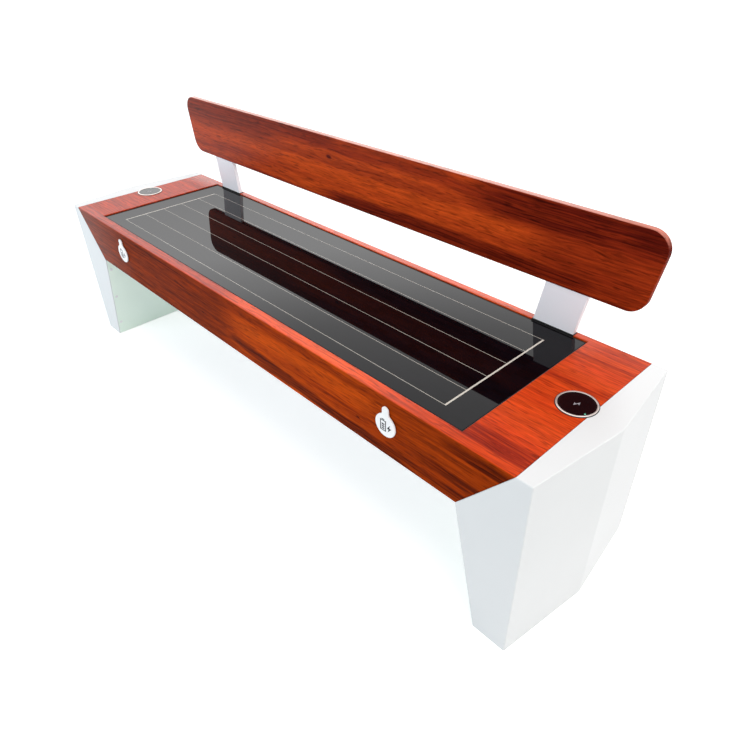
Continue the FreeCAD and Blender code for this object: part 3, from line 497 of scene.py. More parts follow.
def bloom(tree, along, across, lit_top_share, most, clear_from):
    """The bloom on the clear coat. On the sides it grows towards the left end. On top it is thickest along
    the two edges, most at the rear, and only the right end is clear."""
    side_bloom = add(tree, "MapRange", (along, -0.9, clear_from, most, 0))
    top_bloom = add(tree, "MapRange", (along, 0.58, 0.76, 0.4, 0.12))
    for begin, end, share in ((0.15, 0.2, 2.1), (-0.19, -0.2, 1.35)):
        edge_share = add(tree, "MapRange", (across, begin, end, 1, share))
        top_bloom = add(tree, "Math", (top_bloom, edge_share), operation="MULTIPLY")
    return add(tree, "MapRange", (lit_top_share, 0, 1, side_bloom, top_bloom))


def wood_print(name, upright, lit_top_colours, rows, knots, haze):
    """Wood grain printed on powder-coated steel under a clear satin coat. Fine fibres run along the bench,
    with groups of dark lines, broad lighter bands and a few small knots, and what faces up is painted
    lighter, as painted light from above. The colour sets for upright faces and for faces that look up are
    light, middle and dark colours, and haze is the most bloom on the sides and where it ends."""
    material, tree, bsdf = new_finish(name, {"Specular IOR Level": 0.01, "Coat Roughness": 0.26,
                                             "Coat IOR": 1.4})
    place, knot_share = parted(tree, drifted(tree, add(tree, "TexCoord", out="Object")), knots)
    along, across = [add(tree, "SeparateXYZ", (place,), out=axis) for axis in "XY"]
    shares = grain_shares(tree, place, dark_rows(tree, place, along, rows), knot_share)
    tones = []
    for light, middle, dark in (upright, lit_top_colours):
        tone = (*middle, 1)
        for share, colour in zip(shares, (light, dark)):
            tone = add(tree, "Mix", {"Factor": share, "A": tone, "B": (*colour, 1)}, out="Result",
                       data_type="RGBA")
        tones.append(tone)
    # What faces up takes the second, lighter set of colours: painted light from above on the seat's top and
    # the board's upper edge.
    facing = add(tree, "SeparateXYZ", (add(tree, "TexCoord", out="Normal"),), out="Z")
    lit_top_share = add(tree, "MapRange", (facing, 0.25, 0.8))
    colour = add(tree, "Mix", {"Factor": lit_top_share, "A": tones[0], "B": tones[1]}, out="Result",
                 data_type="RGBA")
    # Fibres and pores 5 mm wide, as real ones of 0.5 mm are too fine to show
    fibres = grain_field(tree, (12, 190, 190), 3.0, 0.7, place)
    pores = grain_field(tree, (26, 240, 240), 1.0, 0.5, place)
    tone = add(tree, "MapRange", (fibres, 0.3, 0.7, 0.66, 1.3))
    pore = add(tree, "MapRange", (pores, 0.58, 0.7, 1, 0.6))
    tone = add(tree, "Math", (tone, pore), operation="MULTIPLY")
    colour = add(tree, "VectorMath", {0: colour, "Scale": tone}, operation="SCALE")
    surface(tree, bsdf, colour, fibres, (0.36, 0.46), 0.03 * mm)
    tree.links.new(bloom(tree, along, across, lit_top_share, *haze), bsdf.inputs["Coat Weight"])
    return material


def seat_wood(colours):
    """The seat's print, with its dark rows and knots where the real ones are. Broad rows also darken the
    aprons along their lower edge and towards the right end, the front edge over the left half, and the
    whole left end.
    """
    front, rear = seat_low.y, seat_high.y
    low, high = seat_low.z, seat_high.z
    rows = [("Y", front, 24, 40, 0.03, 0.66, 1, 1), ("Y", 0, 44, 22, 0.02, 0, 1, 0.8),
            ("Y", 0, 145, 9, 0.02, 0, 1, 0.7), ("Y", rear, -30, 24, 0, 0.7, 1, 0.7),
            ("Z", low, 46, 20, -0.09, -0.02, 0.75, 1), ("Z", low, 12, 12, 0.01, 0.1, 1, 1),
            ("Z", high, -16, 22, 0, -0.54, -0.16, 1), ("Z", high, -14, 13, 0, -0.2, 1, 0.5),
            ("Z", high, -24, 20, 0, 0.68, 1, 1), ("Z", low, 52, 22, 0, 0.62, 1, 0.9),
            ("Z", low, 60, 200, 0, 0.52, 1, 0.5), ("Z", low, 6, 26, 0, -1, -0.36, 0.8),
            ("Y", 0, 0, 600, 0, -1.1, -0.5, 0.75), ("Y", front, 14, 60, 0, -1.1, 0.02, 0.8)]
    knots = [((-0.12, front, low + 62 * mm), 9 * mm), ((0.47, front, low + 50 * mm), 6 * mm),
             ((0.80, front + 45 * mm, high), 7 * mm)]
    # The top's colours go in as the lighter set for what faces up, as painted light from above.
    return wood_print("wood_print_on_powder_coat",
                      (colours.side_light, colours.side_middle, colours.side_dark),
                      (colours.top_light, colours.top_middle, colours.top_dark), rows, knots, (0.44, -0.5))


def board_wood(colours):
    """The backrest's print, with its dark rows and knots where the real ones are. Broad rows also darken the
    board along its lower edge, over the upper part of its left end and over its right end.
    """
    face = front_board_low.y
    low, high = front_board_low.z, front_board_high.z
    rows = [("Z", high, -24, 56, 0, 0.4, 1, 1), ("Z", high, -14, 84, 0, -1, -0.34, 0.75),
            ("Z", high, -8, 34, 0, -0.5, -0.06, 0.85), ("Z", high, -14, 30, 0, -0.1, 0.34, 0.4),
            ("Z", high, -62, 16, 0.01, -0.42, 0.3, 0.4), ("Z", low, 14, 26, 0.014, -0.12, 0.72, 1),
            ("Z", low, 2, 12, 0, -0.5, 1, 0.8), ("Z", high, -90, 150, 0, 0.55, 1, 0.6),
            ("Z", high, -90, 150, 0, 0.8, 1, 0.9), ("Z", high, -6, 56, 0, 0.72, 1, 1.5)]
    knots = [((-0.10, face, high - 52 * mm), 11 * mm), ((0.464, face, low + 82 * mm), 6 * mm),
             ((0.66, face, high - 80 * mm), 9 * mm), ((0.74, face, high - 66 * mm), 7 * mm)]
    # The upper edge takes the board edge's colours, painted lighter as painted light from above.
    return wood_print("wood_print_on_board", (colours.board_light, colours.board_middle, colours.board_dark),
                      (colours.lit_edge_grain, colours.lit_edge_grain, colours.lit_edge_streaks), rows, knots, (0.42, 0.5))


def laminated_glass():
    """Toughened glass with black cells bonded to its underside, so the pane is black and mirrors like coated
    glass. The silver ribbons round and between the rows of cells show through it, the broad ones at the ends
    brightest, and each cell has its own near-black."""
    material, tree, bsdf = new_finish("laminated_solar_glass", {"IOR": 1.2})
    place = add(tree, "TexCoord", out="Object")
    along, across = [add(tree, "SeparateXYZ", (place,), out=axis) for axis in "XY"]
    ((left, front, _), (right, back, _)), *inner = islands("cell_ribbons")
    width = inner[0][1].y - inner[0][0].y
    end = inner[0][0].x - left
    bars = [(low.x, low.y, high.x, high.y, 0.6) for low, high in inner]
    bars += [(left, front, right, front + width, 0.7), (left, back - width, right, back, 0.7),
             (left, front, left + end, back, 1.0), (right - end, front, right, back, 1.0)]
    silver = 0.0
    for bar_left, bar_front, bar_right, bar_back, share in bars:
        inside = [add(tree, "Math", (value, (low + high) / 2, (high - low) / 2), operation="COMPARE")
                  for value, low, high in ((along, bar_left, bar_right), (across, bar_front, bar_back))]
        bar = add(tree, "Math", inside, operation="MULTIPLY")
        bar = add(tree, "Math", (bar, share), operation="MULTIPLY")
        silver = add(tree, "Math", (bar, silver), operation="MAXIMUM")
    pitch = inner[1][0].y - inner[0][0].y
    grid = add(tree, "Mapping", {"Vector": place, "Scale": (1 / cell_length, 1 / pitch, 0)})
    cells = add(tree, "TexVoronoi", {"Vector": grid, "Randomness": 0.0}, out="Color")
    tone = (*linear("#060508"), 1)
    for share, colour in ((add(tree, "SeparateColor", (cells,)), "#0A080D"), (silver, "#C6C2B8")):
        tone = add(tree, "Mix", {"Factor": share, "A": tone, "B": (*linear(colour), 1)}, out="Result",
                   data_type="RGBA")
    tree.links.new(tone, bsdf.inputs["Base Color"])
    dust = grain_field(tree, (9, 9, 9), 4.0, 0.6)
    tree.links.new(add(tree, "MapRange", (dust, 0, 1, 0, 0.04)), bsdf.inputs["Roughness"])
    return material


def even_finish(name, colour, share, clouds, grain, roughness, depth, constants=None, detail=(2.0, 0.5)):
    """One colour with soft clouds down to a share of it, and one fine grain for its gloss and its relief, so
    deep in millimetres. Clouds and grain are features per metre."""
    material, tree, bsdf = new_finish(name, constants)
    field = grain_field(tree, grain, *detail)
    surface(tree, bsdf, clouded(tree, colour, share, clouds), field, roughness, depth * mm)
    return material


def powder_coat(name, colour, roughness=0.36):
    """Satin powder coat on steel: an orange-peel skin about 3 mm across, and a faint greying."""
    return even_finish(name, colour, 0.975, 3.5, (330, 330, 330), (roughness - 0.05, roughness + 0.07), 0.03)


def silicon_cell():
    """Black monocrystalline silicon, etched to hold light."""
    return even_finish("silicon_cell", linear("#0A0A10"), 0.8, 6.4, (700, 700, 700), (0.4, 0.55), 0.002)


def plain_metal(name, colour, roughness, grain=(700, 700, 700), depth=0.01, metallic=1.0):
    """Bare or plated metal with a drawn or brushed grain; grain is lines per metre on each axis."""
    return even_finish(name, linear(colour), 0.85, 60, grain, (roughness - 0.08, roughness + 0.1), depth,
                       {"Metallic": metallic}, (3.0, 0.6))


def moulding(name, colour, roughness, pits=1400, depth=0.01, gloss=0.5):
    """Injection-moulded plastic or rubber with a fine spark-eroded skin of so many pits per metre."""
    return even_finish(name, linear(colour), 0.93, 25, (pits,) * 3,
                       (max(roughness - 0.06, 0.02), roughness + 0.06), depth, {"Specular IOR Level": gloss})


def galvanised_steel():
    """Hot-dip galvanised sheet: zinc crystals about 10 mm across, each of its own grey."""
    material, tree, bsdf = new_finish("galvanised_steel", {"Metallic": 0.9})
    place = add(tree, "Mapping", {"Vector": add(tree, "TexCoord", out="Object"), "Scale": (100, 100, 100)})
    share = add(tree, "SeparateColor", (add(tree, "TexVoronoi", {"Vector": place}, out="Color"),))
    tone = add(tree, "ValToRGB", (share,), stops=[(0.0, linear("#A9ADB0")), (1.0, linear("#C6CACC"))])
    surface(tree, bsdf, tone, share, (0.38, 0.55), 0.01 * mm)
    return material


def turned_steel(name, centre):
    """Steel turned on a lathe: fine rings 0.4 mm apart round the charger's middle."""
    material, tree, bsdf = new_finish(name, {"Metallic": 1.0})
    around = add(tree, "VectorMath", (add(tree, "TexCoord", out="Object"), centre), operation="SUBTRACT")
    flat = add(tree, "VectorMath", (around, (2500, 2500, 0)), operation="MULTIPLY")
    radius = add(tree, "VectorMath", (flat,), operation="LENGTH", out="Value")
    rings = add(tree, "TexNoise", {"W": radius, "Scale": 1.0}, noise_dimensions="1D")
    colour = linear("#CFC6C0")
    tone = add(tree, "ValToRGB", (rings,), stops=[(0.2, [part * 0.85 for part in colour]), (0.8, colour)])
    surface(tree, bsdf, tone, rings, (0.25, 0.38), 0.01 * mm)
    return material


def diode_lens():
    """Tinted acrylic lens over a lit diode, with an uneven glow."""
    material, tree, bsdf = new_finish("green_diode_lens", {"Emission Strength": 0.35})
    tone = clouded(tree, linear("#6CC8A8"), 0.8, 700)
    surface(tree, bsdf, tone, grain_field(tree, (900, 900, 900)), (0.15, 0.25), 0.002 * mm)
    tree.links.new(tone, bsdf.inputs["Emission Color"])
    return material


def make_finishes(colours):
    """Every finish by its short name."""
    return {
        "seat_wood": seat_wood(colours),
        "board_wood": board_wood(colours),
        "leg_coat": powder_coat("white_powder_coat", colours.leg_white),
        # Painted light: the inner panels' and the struts' copies of the white coat are lighter than the
        # legs', and the inner panels' greener.
        "liner_coat_painted_light": powder_coat("white_powder_coat_inside", colours.liner_white_painted_light),
        "strut_coat": powder_coat("white_powder_coat_on_bar", colours.strut_white),
        "painted": powder_coat("white_painted_steel", linear("#ECEDEE"), 0.3),
        "glass": laminated_glass(),
        "cell": silicon_cell(),
        "ribbon": plain_metal("tinned_copper_ribbon", "#CFCAC2", 0.5, (60, 900, 900), metallic=0.2),
        "backsheet": moulding("black_laminate_sheet", "#0C0C0F", 0.45, 900, 0.002),
        "gasket": moulding("epdm_rubber", "#0C0C0D", 0.55, 1100, 0.02, 0.3),
        "ring_left": turned_steel("turned_steel_left", (-charger_x, charger_y, 0)),
        "ring_right": turned_steel("turned_steel_right", (charger_x, charger_y, 0)),
        "pad": moulding("polished_black_acrylic", "#0D080D", 0.1, 60, 0.0005, 0.33),
        "pad_sign": moulding("grey_pad_print", "#8E8A90", 0.4),
        "light": diode_lens(),
        "white_abs": moulding("white_gloss_abs", "#F6F7F8", 0.24, 1500, 0.003),
        "navy_print": moulding("navy_screen_print", "#0E1620", 0.4, gloss=0.2),
        "black_abs": moulding("black_moulded_abs", "#101113", 0.42, 1300, 0.012),
        "port_shell": plain_metal("nickel_plated_shell", "#C9C7C2", 0.25, (900, 900, 900)),
        "tongue": moulding("blue_contact_carrier", "#1F4E9E", 0.4),
        "contact": plain_metal("gold_plated_contact", "#E2B45A", 0.22, (900, 900, 900)),
        "galvanised": galvanised_steel(),
        "zinc": plain_metal("zinc_plated_steel", "#C3C6C6", 0.35, (500, 500, 500)),
        "stainless": plain_metal("stainless_steel", "#CFCFCC", 0.28),
        "copper": plain_metal("enamelled_copper_winding", "#B4571F", 0.3, (1200, 1200, 60)),
        "battery": moulding("battery_case_polycarbonate", "#23344F", 0.4, 900, 0.02),
        "controller": plain_metal("anodised_extrusion", "#6B7075", 0.4, (30, 1200, 1200), 0.02),
        "sheath": moulding("pvc_lead_sheath", "#131315", 0.45, 1600, 0.01),
    }


finishes = {}


def finish(name):
    """A finish by its short name; all are made when a piece first asks for one."""
    if not finishes:
        finishes.update(make_finishes(bpy.context.scene.bench_colours))
    return finishes[name]


# Stage
def looked_at(tree):
    """1 for what is seen straight, in a mirror or through glass, and 0 for light on its way to a surface."""
    path = add(tree, "LightPath").node.outputs
    seen = add(tree, "Math", (path["Is Camera Ray"], path["Is Glossy Ray"]), operation="MAXIMUM")
    return add(tree, "Math", (seen, path["Is Transmission Ray"]), operation="MAXIMUM")


def floor_finish(colour):
    """Pale floor that keeps the bench's shadow, lifted to white for what looks at it, most far from lamps."""
    material, tree, bsdf = new_finish("pale_floor", {"Base Color": (*colour, 1), "Roughness": 0.9,
                                                     "Specular IOR Level": 0.0,
                                                     "Emission Color": (1, 1, 1, 1)})
    away = add(tree, "VectorMath", (add(tree, "TexCoord", out="Object"),), operation="LENGTH", out="Value")
    lift = add(tree, "MapRange", (away, 1.2, 4.0, 0.42, 0.62))
    tree.links.new(add(tree, "MapRange", (looked_at(tree), 0, 1, 0, lift)), bsdf.inputs["Emission Strength"])
    return material


def make_world():
    """White for what looks at it, a softer and slightly cool light on the surfaces, and for mirrors the
    room's walls, brightest 24 degrees up."""
    world = bpy.data.worlds.new("studio")
    bpy.context.scene.world = world
    world.use_nodes = True
    tree = world.node_tree
    background = tree.nodes["Background"]
    tone = add(tree, "Mix", {"Factor": looked_at(tree), "A": (0.55, 0.59, 0.61, 1), "B": (1, 1, 1, 1)},
               out="Result", data_type="RGBA")
    tree.links.new(tone, background.inputs["Color"])
    height = add(tree, "SeparateXYZ", (add(tree, "TexCoord", out="Generated"),), out="Z")
    walls = [(18, 1.8), (24, 3.7), (27, 3.7), (31, 2.8), (37, 2.6), (45, 2.8)]
    brightest = 4.0
    room = add(tree, "ValToRGB", (height,),
               stops=[(math.sin(math.radians(up)), (level / brightest,) * 3) for up, level in walls])
    room = add(tree, "Math", (room, brightest), operation="MULTIPLY")
    mirrored_room = add(tree, "MapRange", (add(tree, "LightPath", out="Is Glossy Ray"), 0, 1, 1, room))
    tree.links.new(mirrored_room, background.inputs["Strength"])


def make_lamp(name, place, size, power, colour="#FFFFFF", aim_height=0.4):
    """A soft square lamp, its power in watts, that looks at the bench and isn't seen itself."""
    activate()
    bpy.ops.object.light_add(type="AREA", location=place)
    lamp = bpy.context.object
    lamp.name = name
    lamp.data.size = size
    lamp.data.energy = power
    lamp.data.color = linear(colour)
    way = Vector((0, 0, aim_height)) - Vector(place)
    lamp.rotation_euler = way.to_track_quat("-Z", "Y").to_euler()
    lamp.visible_camera = False
    lamp.visible_glossy = False
    lamp.visible_transmission = False


def make_camera():
    activate()
    bpy.ops.object.camera_add(location=camera_place)
    camera = bpy.context.object
    forward, up = Vector(camera_forward), Vector(camera_up)
    turn = Matrix((forward.cross(up), up, -forward)).transposed().to_4x4()
    camera.matrix_world = Matrix.Translation(camera_place) @ turn
    camera.data.lens = camera_lens
    camera.data.sensor_width = camera_sensor
    camera.data.clip_end = camera_reach
    bpy.context.scene.camera = camera


# Pieces
def strut_bar(name, side, grow, sizes, start=strut_low.z, end=strut_high.z, ahead=0.0):
    """A flat bar that leans outwards like the struts, from one height to another."""
    lean = (strut_high.x - strut_low.x - sizes.strut_width) / (strut_high.z - strut_low.z)
    left = strut_low.x + lean * (start - strut_low.z) - grow
    bar = block(name, (left, strut_low.y - grow - ahead, start),
                (left + sizes.strut_width + 2 * grow, strut_high.y + grow, end))
    pick(bar, "VERT", lambda at, way: at.z > (start + end) / 2)
    shift(x=lean * (end - start))
    activate(bar)
    if side > 0:
        return bar
    other = mirrored(bar, name)
    bpy.data.objects.remove(bar)
    return other


def make_seat_skin(sizes):
    """The folded seat: top, aprons, lower flanges and the lip that goes down round the glass."""
    top, foot, front = seat_high.z, seat_low.z, seat_low.y
    skin = block("seat_skin", seat_low, seat_high)
    for side in (-1, 1):
        pick(skin, "VERT", lambda at, way: at.z < foot + tiny and at.x * side > 0)
        shift(x=side * (apron_foot_x - seat_high.x))
    pick(skin, "FACE", lambda at, way: way.z < -mostly or abs(way.x) > partly)
    bpy.ops.mesh.delete(type="FACE")
    for way in ((1, 0, 0), (0, 1, 0)):
        for corner in (opening_low, opening_high):
            pick(skin, "FACE", lambda at, normal: normal.z > mostly)
            bpy.ops.mesh.bisect(plane_co=corner, plane_no=way)
    pick(skin, "FACE", lambda at, way: way.z > mostly and abs(at.x) < tiny
         and opening_low.y < at.y < opening_high.y)
    bpy.ops.mesh.delete(type="FACE")

    def on_opening(at, way):
        if at.z < top - tiny:
            return False
        on_end = abs(abs(at.x) - opening_high.x) < tiny and opening_low.y < at.y < opening_high.y
        on_side = min(abs(at.y - opening_low.y), abs(at.y - opening_high.y)) < tiny
        return on_end or on_side and abs(at.x) < opening_high.x - tiny

    pick(skin, "EDGE", on_opening)
    extrude(z=-sizes.opening_lip)
    pick(skin, "EDGE", on_opening)
    round_picked(sizes.opening_fold, 3)
    for side in (-1, 1):
        pick(skin, "EDGE", lambda at, way: at.z < foot + tiny and abs(way.x) > mostly and at.y * side > 0)
        extrude(y=-side * sizes.seat_flange)
    pick(skin, "EDGE", lambda at, way: abs(way.x) > mostly and abs(abs(at.y) - seat_high.y) < tiny
         and (at.z > top - tiny or at.z < foot + tiny))
    round_picked(sizes.seat_fold, 6)
    thicken(skin, sizes.seat_sheet)
    charger_hole, socket_hole = 30.5 * mm, 18 * mm
    reach, slot_reach, slot_ahead = 20 * mm, 60 * mm, 2 * mm
    for side in (-1, 1):
        combine(skin, "DIFFERENCE",
                disc("hole", (side * charger_x, charger_y, 0), charger_hole, top - reach, top + reach),
                disc("hole", (side * usb_x, 0, usb_z), socket_hole, front - reach, front + reach, "Y"),
                disc("hole", (side * usb_x, 0, pivot_z), pin_radius, front - reach, front + reach, "Y"),
                strut_bar("hole", side, sizes.strut_gap, sizes, top - slot_reach, top + slot_reach,
                          slot_ahead))
    soften(skin, sizes.edge)
    dress(skin, "seat_wood", "wood_grain_finish", "seat_cover")


def make_leg_skin(sizes):
    """The right leg's folded shell: front, rear, two outer facets and the top cap."""
    top = leg_high.z
    seam_top_x = seat_high.x + sizes.leg_seam
    seam = Vector((leg_low.x, 0, seat_low.z))
    skin = block("leg_right_skin", (leg_low.x, leg_low.y, 0), (leg_corner_x, leg_high.y, top))
    for end in (Vector((seam_top_x, 0, top)), Vector((leg_foot_x, 0, 0))):
        run = end - seam
        outwards = Vector((-run.z, 0, run.x)) if end.z > seam.z else Vector((run.z, 0, -run.x))
        pick(skin, "FACE", lambda at, way: True)
        bpy.ops.mesh.bisect(plane_co=seam, plane_no=outwards.normalized(), clear_outer=True)
    pick(skin, "FACE", lambda at, way: way.x > mostly)
    bpy.ops.mesh.bisect(plane_co=(0, 0, 0), plane_no=(0, 1, 0))
    pick(skin, "EDGE", lambda at, way: abs(at.y) < tiny and at.x > leg_corner_x - tiny
         and abs(way.z) > mostly)
    shift(x=leg_high.x - leg_corner_x)
    pick(skin, "FACE", lambda at, way: way.z < -mostly or way.x < -partly)
    bpy.ops.mesh.delete(type="FACE")

    def folded(at, way):
        upright = abs(way.z) > mostly and at.x > leg_corner_x - tiny
        rim = at.z > top - tiny and at.x > seam_top_x + tiny
        return upright or rim

    pick(skin, "EDGE", folded)
    round_picked(sizes.leg_fold, 4)
    thicken(skin, sizes.seat_sheet)
    soften(skin, sizes.edge)
    return skin


def make_leg_liner():
    """The leaning panel that closes the leg towards the space under the seat."""
    liner = block("leg_right_liner", (leg_foot_x, liner_low.y, liner_low.z), liner_high)
    pick(liner, "VERT", lambda at, way: at.z > liner_high.z - tiny)
    shift(x=liner_low.x - leg_foot_x)
    soften(liner, 0.5 * mm)
    return liner


def make_board_half(name, node, low, high, open_face, sizes):
    """One folded skin of the backrest; open_face is the way that its open side looks."""
    board = block(name, low, high)
    for side in (-1, 1):
        pick(board, "VERT", lambda at, way: at.z < low.z + tiny and at.x * side > 0)
        shift(x=-side * sizes.board_lean)
    slope = math.atan2(sizes.board_lean, high.z - low.z)
    for upper, corner in ((True, math.pi / 2 - slope), (False, math.pi / 2 + slope)):
        pick(board, "EDGE", lambda at, way: abs(way.y) > mostly and (at.z > (low.z + high.z) / 2) == upper)
        round_picked(sizes.board_corner / math.tan(corner / 2), 16)
    pick(board, "FACE", lambda at, way: way.y * open_face > mostly)
    bpy.ops.mesh.delete(type="FACE")
    shown = low.y if open_face > 0 else high.y
    pick(board, "EDGE", lambda at, way: abs(at.y - shown) < tiny)
    round_picked(sizes.board_fold, 4)
    thicken(board, sizes.board_sheet)
    slot_top = low.z + 10 * mm
    for side in (-1, 1):
        combine(board, "DIFFERENCE", strut_bar("slot", side, sizes.strut_gap, sizes, end=slot_top))
    soften(board, 0.25 * mm)
    dress(board, "board_wood", "wood_grain_finish", node)


def make_strut(side_name, side, sizes):
    """A flat bar with eased edges, and the rubber seal round it where it enters the seat."""
    bar = strut_bar("strut_" + side_name, side, 0, sizes)
    soften(bar, 0.8 * mm, 3)
    # The struts' white is painted lighter than the legs', as painted light in the backrest's shade.
    dress(bar, "strut_coat", "white_powder_coat", "backrest_strut_" + side_name)
    top, over_seat, core_reach = seat_high.z, 1.2 * mm, 5 * mm
    seal = strut_bar("strut_seal_" + side_name, side, sizes.seal_width, sizes, opening_high.z + tiny,
                     top + over_seat)
    combine(seal, "DIFFERENCE", strut_bar("core", side, 0.05 * mm, sizes, top - core_reach, top + core_reach))
    soften(seal, 0.5 * mm, 3)
    dress(seal, "gasket", "black_rubber")


def step_in(piece, face_up, rim, rise):
    """Leave a rim round a disc's upper (1) or lower (-1) face and move what is inside it."""
    pick(piece, "FACE", lambda at, way: way.z * face_up > mostly)
    bpy.ops.mesh.inset(thickness=rim)
    extrude(z=rise)


def make_charger_ring(side_name, centre, sizes):
    """Turned ring with a collar down through the seat, and round it a thin black washer that stands in for
    the ring's shadow on the seat.
    """
    top, flange = seat_high.z, 8.5 * mm
    outer = (ring_high.x - ring_low.x) / 2
    ring = disc("charger_ring_" + side_name, centre, outer, top, ring_high.z, corners=128)
    step_in(ring, 1, sizes.ring_width, pad_low.z - ring_high.z)
    step_in(ring, -1, flange, ring_low.z - top)
    for radius, rounding, steps in ((outer, 0.9 * mm, 4), (outer - sizes.ring_width, 0.5 * mm, 3)):
        pick(ring, "EDGE", lambda at, way: at.z > ring_high.z - tiny
             and abs(math.hypot(at.x - centre.x, at.y - centre.y) - radius) < 0.5 * mm)
        round_picked(rounding, steps)
    soften(ring, 0)
    dress(ring, "ring_" + side_name, "polished_ring", f"charger_{side_name}_ring")
    # A dark piece where there is only shade: the thin black washer paints the ring's shadow round it.
    shadow_washer_width, shadow_washer_top = 1.7 * mm, top + 0.6 * mm
    shadow_washer = disc("charger_shadow_washer_" + side_name, centre, outer + shadow_washer_width, top, shadow_washer_top, corners=128)
    combine(shadow_washer, "DIFFERENCE", disc("core", centre, outer + 0.02 * mm, top - mm, top + mm, corners=128))
    soften(shadow_washer, 0.15 * mm)
    dress(shadow_washer, "gasket", "black_rubber")


def make_charger(side_name, side, sizes):
    """The ring, a gloss pad with a sunk middle and a charging sign, and the small light."""
    centre = Vector((side * charger_x, charger_y, 0))
    node = f"charger_{side_name}_"
    make_charger_ring(side_name, centre, sizes)
    sunk, sign_depth, stands_out = 0.25 * mm, 0.22 * mm, 0.1 * mm
    pad_radius = (pad_high.x - pad_low.x) / 2
    pad = disc("charger_pad_" + side_name, centre, pad_radius, pad_low.z, pad_high.z, corners=128)
    step_in(pad, 1, sizes.pad_rim, -sunk)
    soften(pad, 0.12 * mm)
    dress(pad, "pad", "black_gloss_pad", node + "pad")
    light_low, light_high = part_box(node + "light")
    light = disc("charger_light_" + side_name, (light_low + light_high) / 2,
                 (light_high.x - light_low.x) / 2, light_low.z, light_high.z + stands_out, corners=32)
    soften(light, 0.4 * mm, 3)
    dress(light, "light", "green_light", node + "light")
    spark = [(-8.2, 0.9), (-0.6, 5.4), (-1.3, 1.4), (8.2, -0.9), (0.6, -5.4), (1.3, -1.4)]
    mark = sign("charger_sign_" + side_name, [spark], (centre.x, charger_y - 1 * mm, pad_high.z - sign_depth),
                (0.26, 0.966, 0), (-0.966, 0.26, 0))
    dress(mark, "pad_sign", "black_gloss_pad")
    coat_nodes("black_abs", node + "housing", node + "lock_nut")
    coat_nodes("copper", node + "coil")


def arc(centre, radius, start, end, steps):
    """Points of an arc between two angles in degrees, in X and Z."""
    angles = [math.radians(start + (end - start) * step / steps) for step in range(steps + 1)]
    return [(centre[0] + radius * math.cos(angle), centre[1] + radius * math.sin(angle)) for angle in angles]


def rectangle(left, low, right, high):
    return [(left, low), (right, low), (right, high), (left, high)]


def plate(name, outline, front, back):
    """A flat plate that faces forward, from its outline in X and Z."""
    activate()
    bpy.ops.mesh.primitive_circle_add(vertices=len(outline), radius=1, fill_type="NGON")
    piece = bpy.context.object
    for corner, (x, z) in zip(piece.data.vertices, outline):
        corner.co = (x, front, z)
    pick(piece, "FACE", lambda at, way: True)
    extrude(y=back - front)
    bpy.ops.mesh.select_all(action="SELECT")
    bpy.ops.mesh.normals_make_consistent(inside=False)
    activate(piece)
    return settled(name)


def make_usb_cover(side_name, side):
    """Round cover with a tab and soft necks, hung on a flush pin, with a battery and bolt printed on it."""
    x = side * usb_x
    pivot = (x, 0, pivot_z)
    front, back = cover_low.y, cover_high.y
    body = f"usb_{side_name}_cover"
    radius, tab, neck = (cover_high.x - cover_low.x) / 2, cover_high.z - pivot_z, 8 * mm
    neck_x = tab + neck
    neck_z = math.sqrt((radius + neck) ** 2 - neck_x ** 2)
    touch = math.degrees(math.atan2(neck_z, neck_x))
    right = arc((0, 0), radius, -90, touch, 48) + arc((neck_x, neck_z), neck, touch + 180, 180, 10)[1:]
    right += arc((0, pivot_z - usb_z), tab, 0, 90, 16)
    outline = [(x + u, usb_z + v) for u, v in right]
    outline += [(x - u, usb_z + v) for u, v in reversed(right[1:-1])]
    cover = plate("usb_cover_" + side_name, outline, front, back)
    pick(cover, "EDGE", lambda at, way: at.y < front + tiny)
    round_picked(1.0 * mm, 4)
    head_radius, seat_radius, collar_radius, play = 4.0 * mm, 4.2 * mm, 5 * mm, 0.05 * mm
    combine(cover, "DIFFERENCE",
            disc("bore", pivot, pin_radius + play, front - mm, back + mm, "Y", 48),
            disc("seat", pivot, seat_radius, front - mm, front + mm, "Y", 48))
    soften(cover, 0)
    dress(cover, "white_abs", "white_moulding", body, body=body)
    battery = [rectangle(-13, -14, 3, 12), rectangle(-10.6, -11.6, 0.6, 9.6), rectangle(-8.5, 12.6, -1.5, 15)]
    battery += [rectangle(-8.8, low, -1.2, low + 3.4) for low in (-9.8, -4.7, 0.4)]
    bolt = [(13.4, 7.4), (5.4, -3.8), (10.2, -3.8), (7.4, -12.0), (17.2, -0.4), (12.0, -0.4)]
    mark = sign("usb_sign_" + side_name, battery + [bolt], (x, front, usb_z), (1, 0, 0), (0, 0, 1))
    dress(mark, "navy_print", "white_moulding", body=body)
    head = disc("usb_pin_" + side_name, pivot, head_radius, front + play, front + 0.9 * mm, "Y", 48)
    combine(head, "UNION",
            disc("shank", pivot, pin_radius - 0.03 * mm, front + 0.5 * mm, pin_back, "Y", 48),
            disc("collar", pivot, collar_radius, back + 0.15 * mm, seat_low.y, "Y", 48))
    soften(head, 0.25 * mm)
    dress(head, "painted", "white_pin", f"usb_{side_name}_hinge_pin")


def port_part(name, x, z, half_width, low, high, start, end):
    """A box in a port, from low to high over its middle and from start to end behind the face, in
    millimetres."""
    return block(name, (x - half_width * mm, port_low.y + start * mm, z + low * mm),
                 (x + half_width * mm, port_low.y + end * mm, z + high * mm))


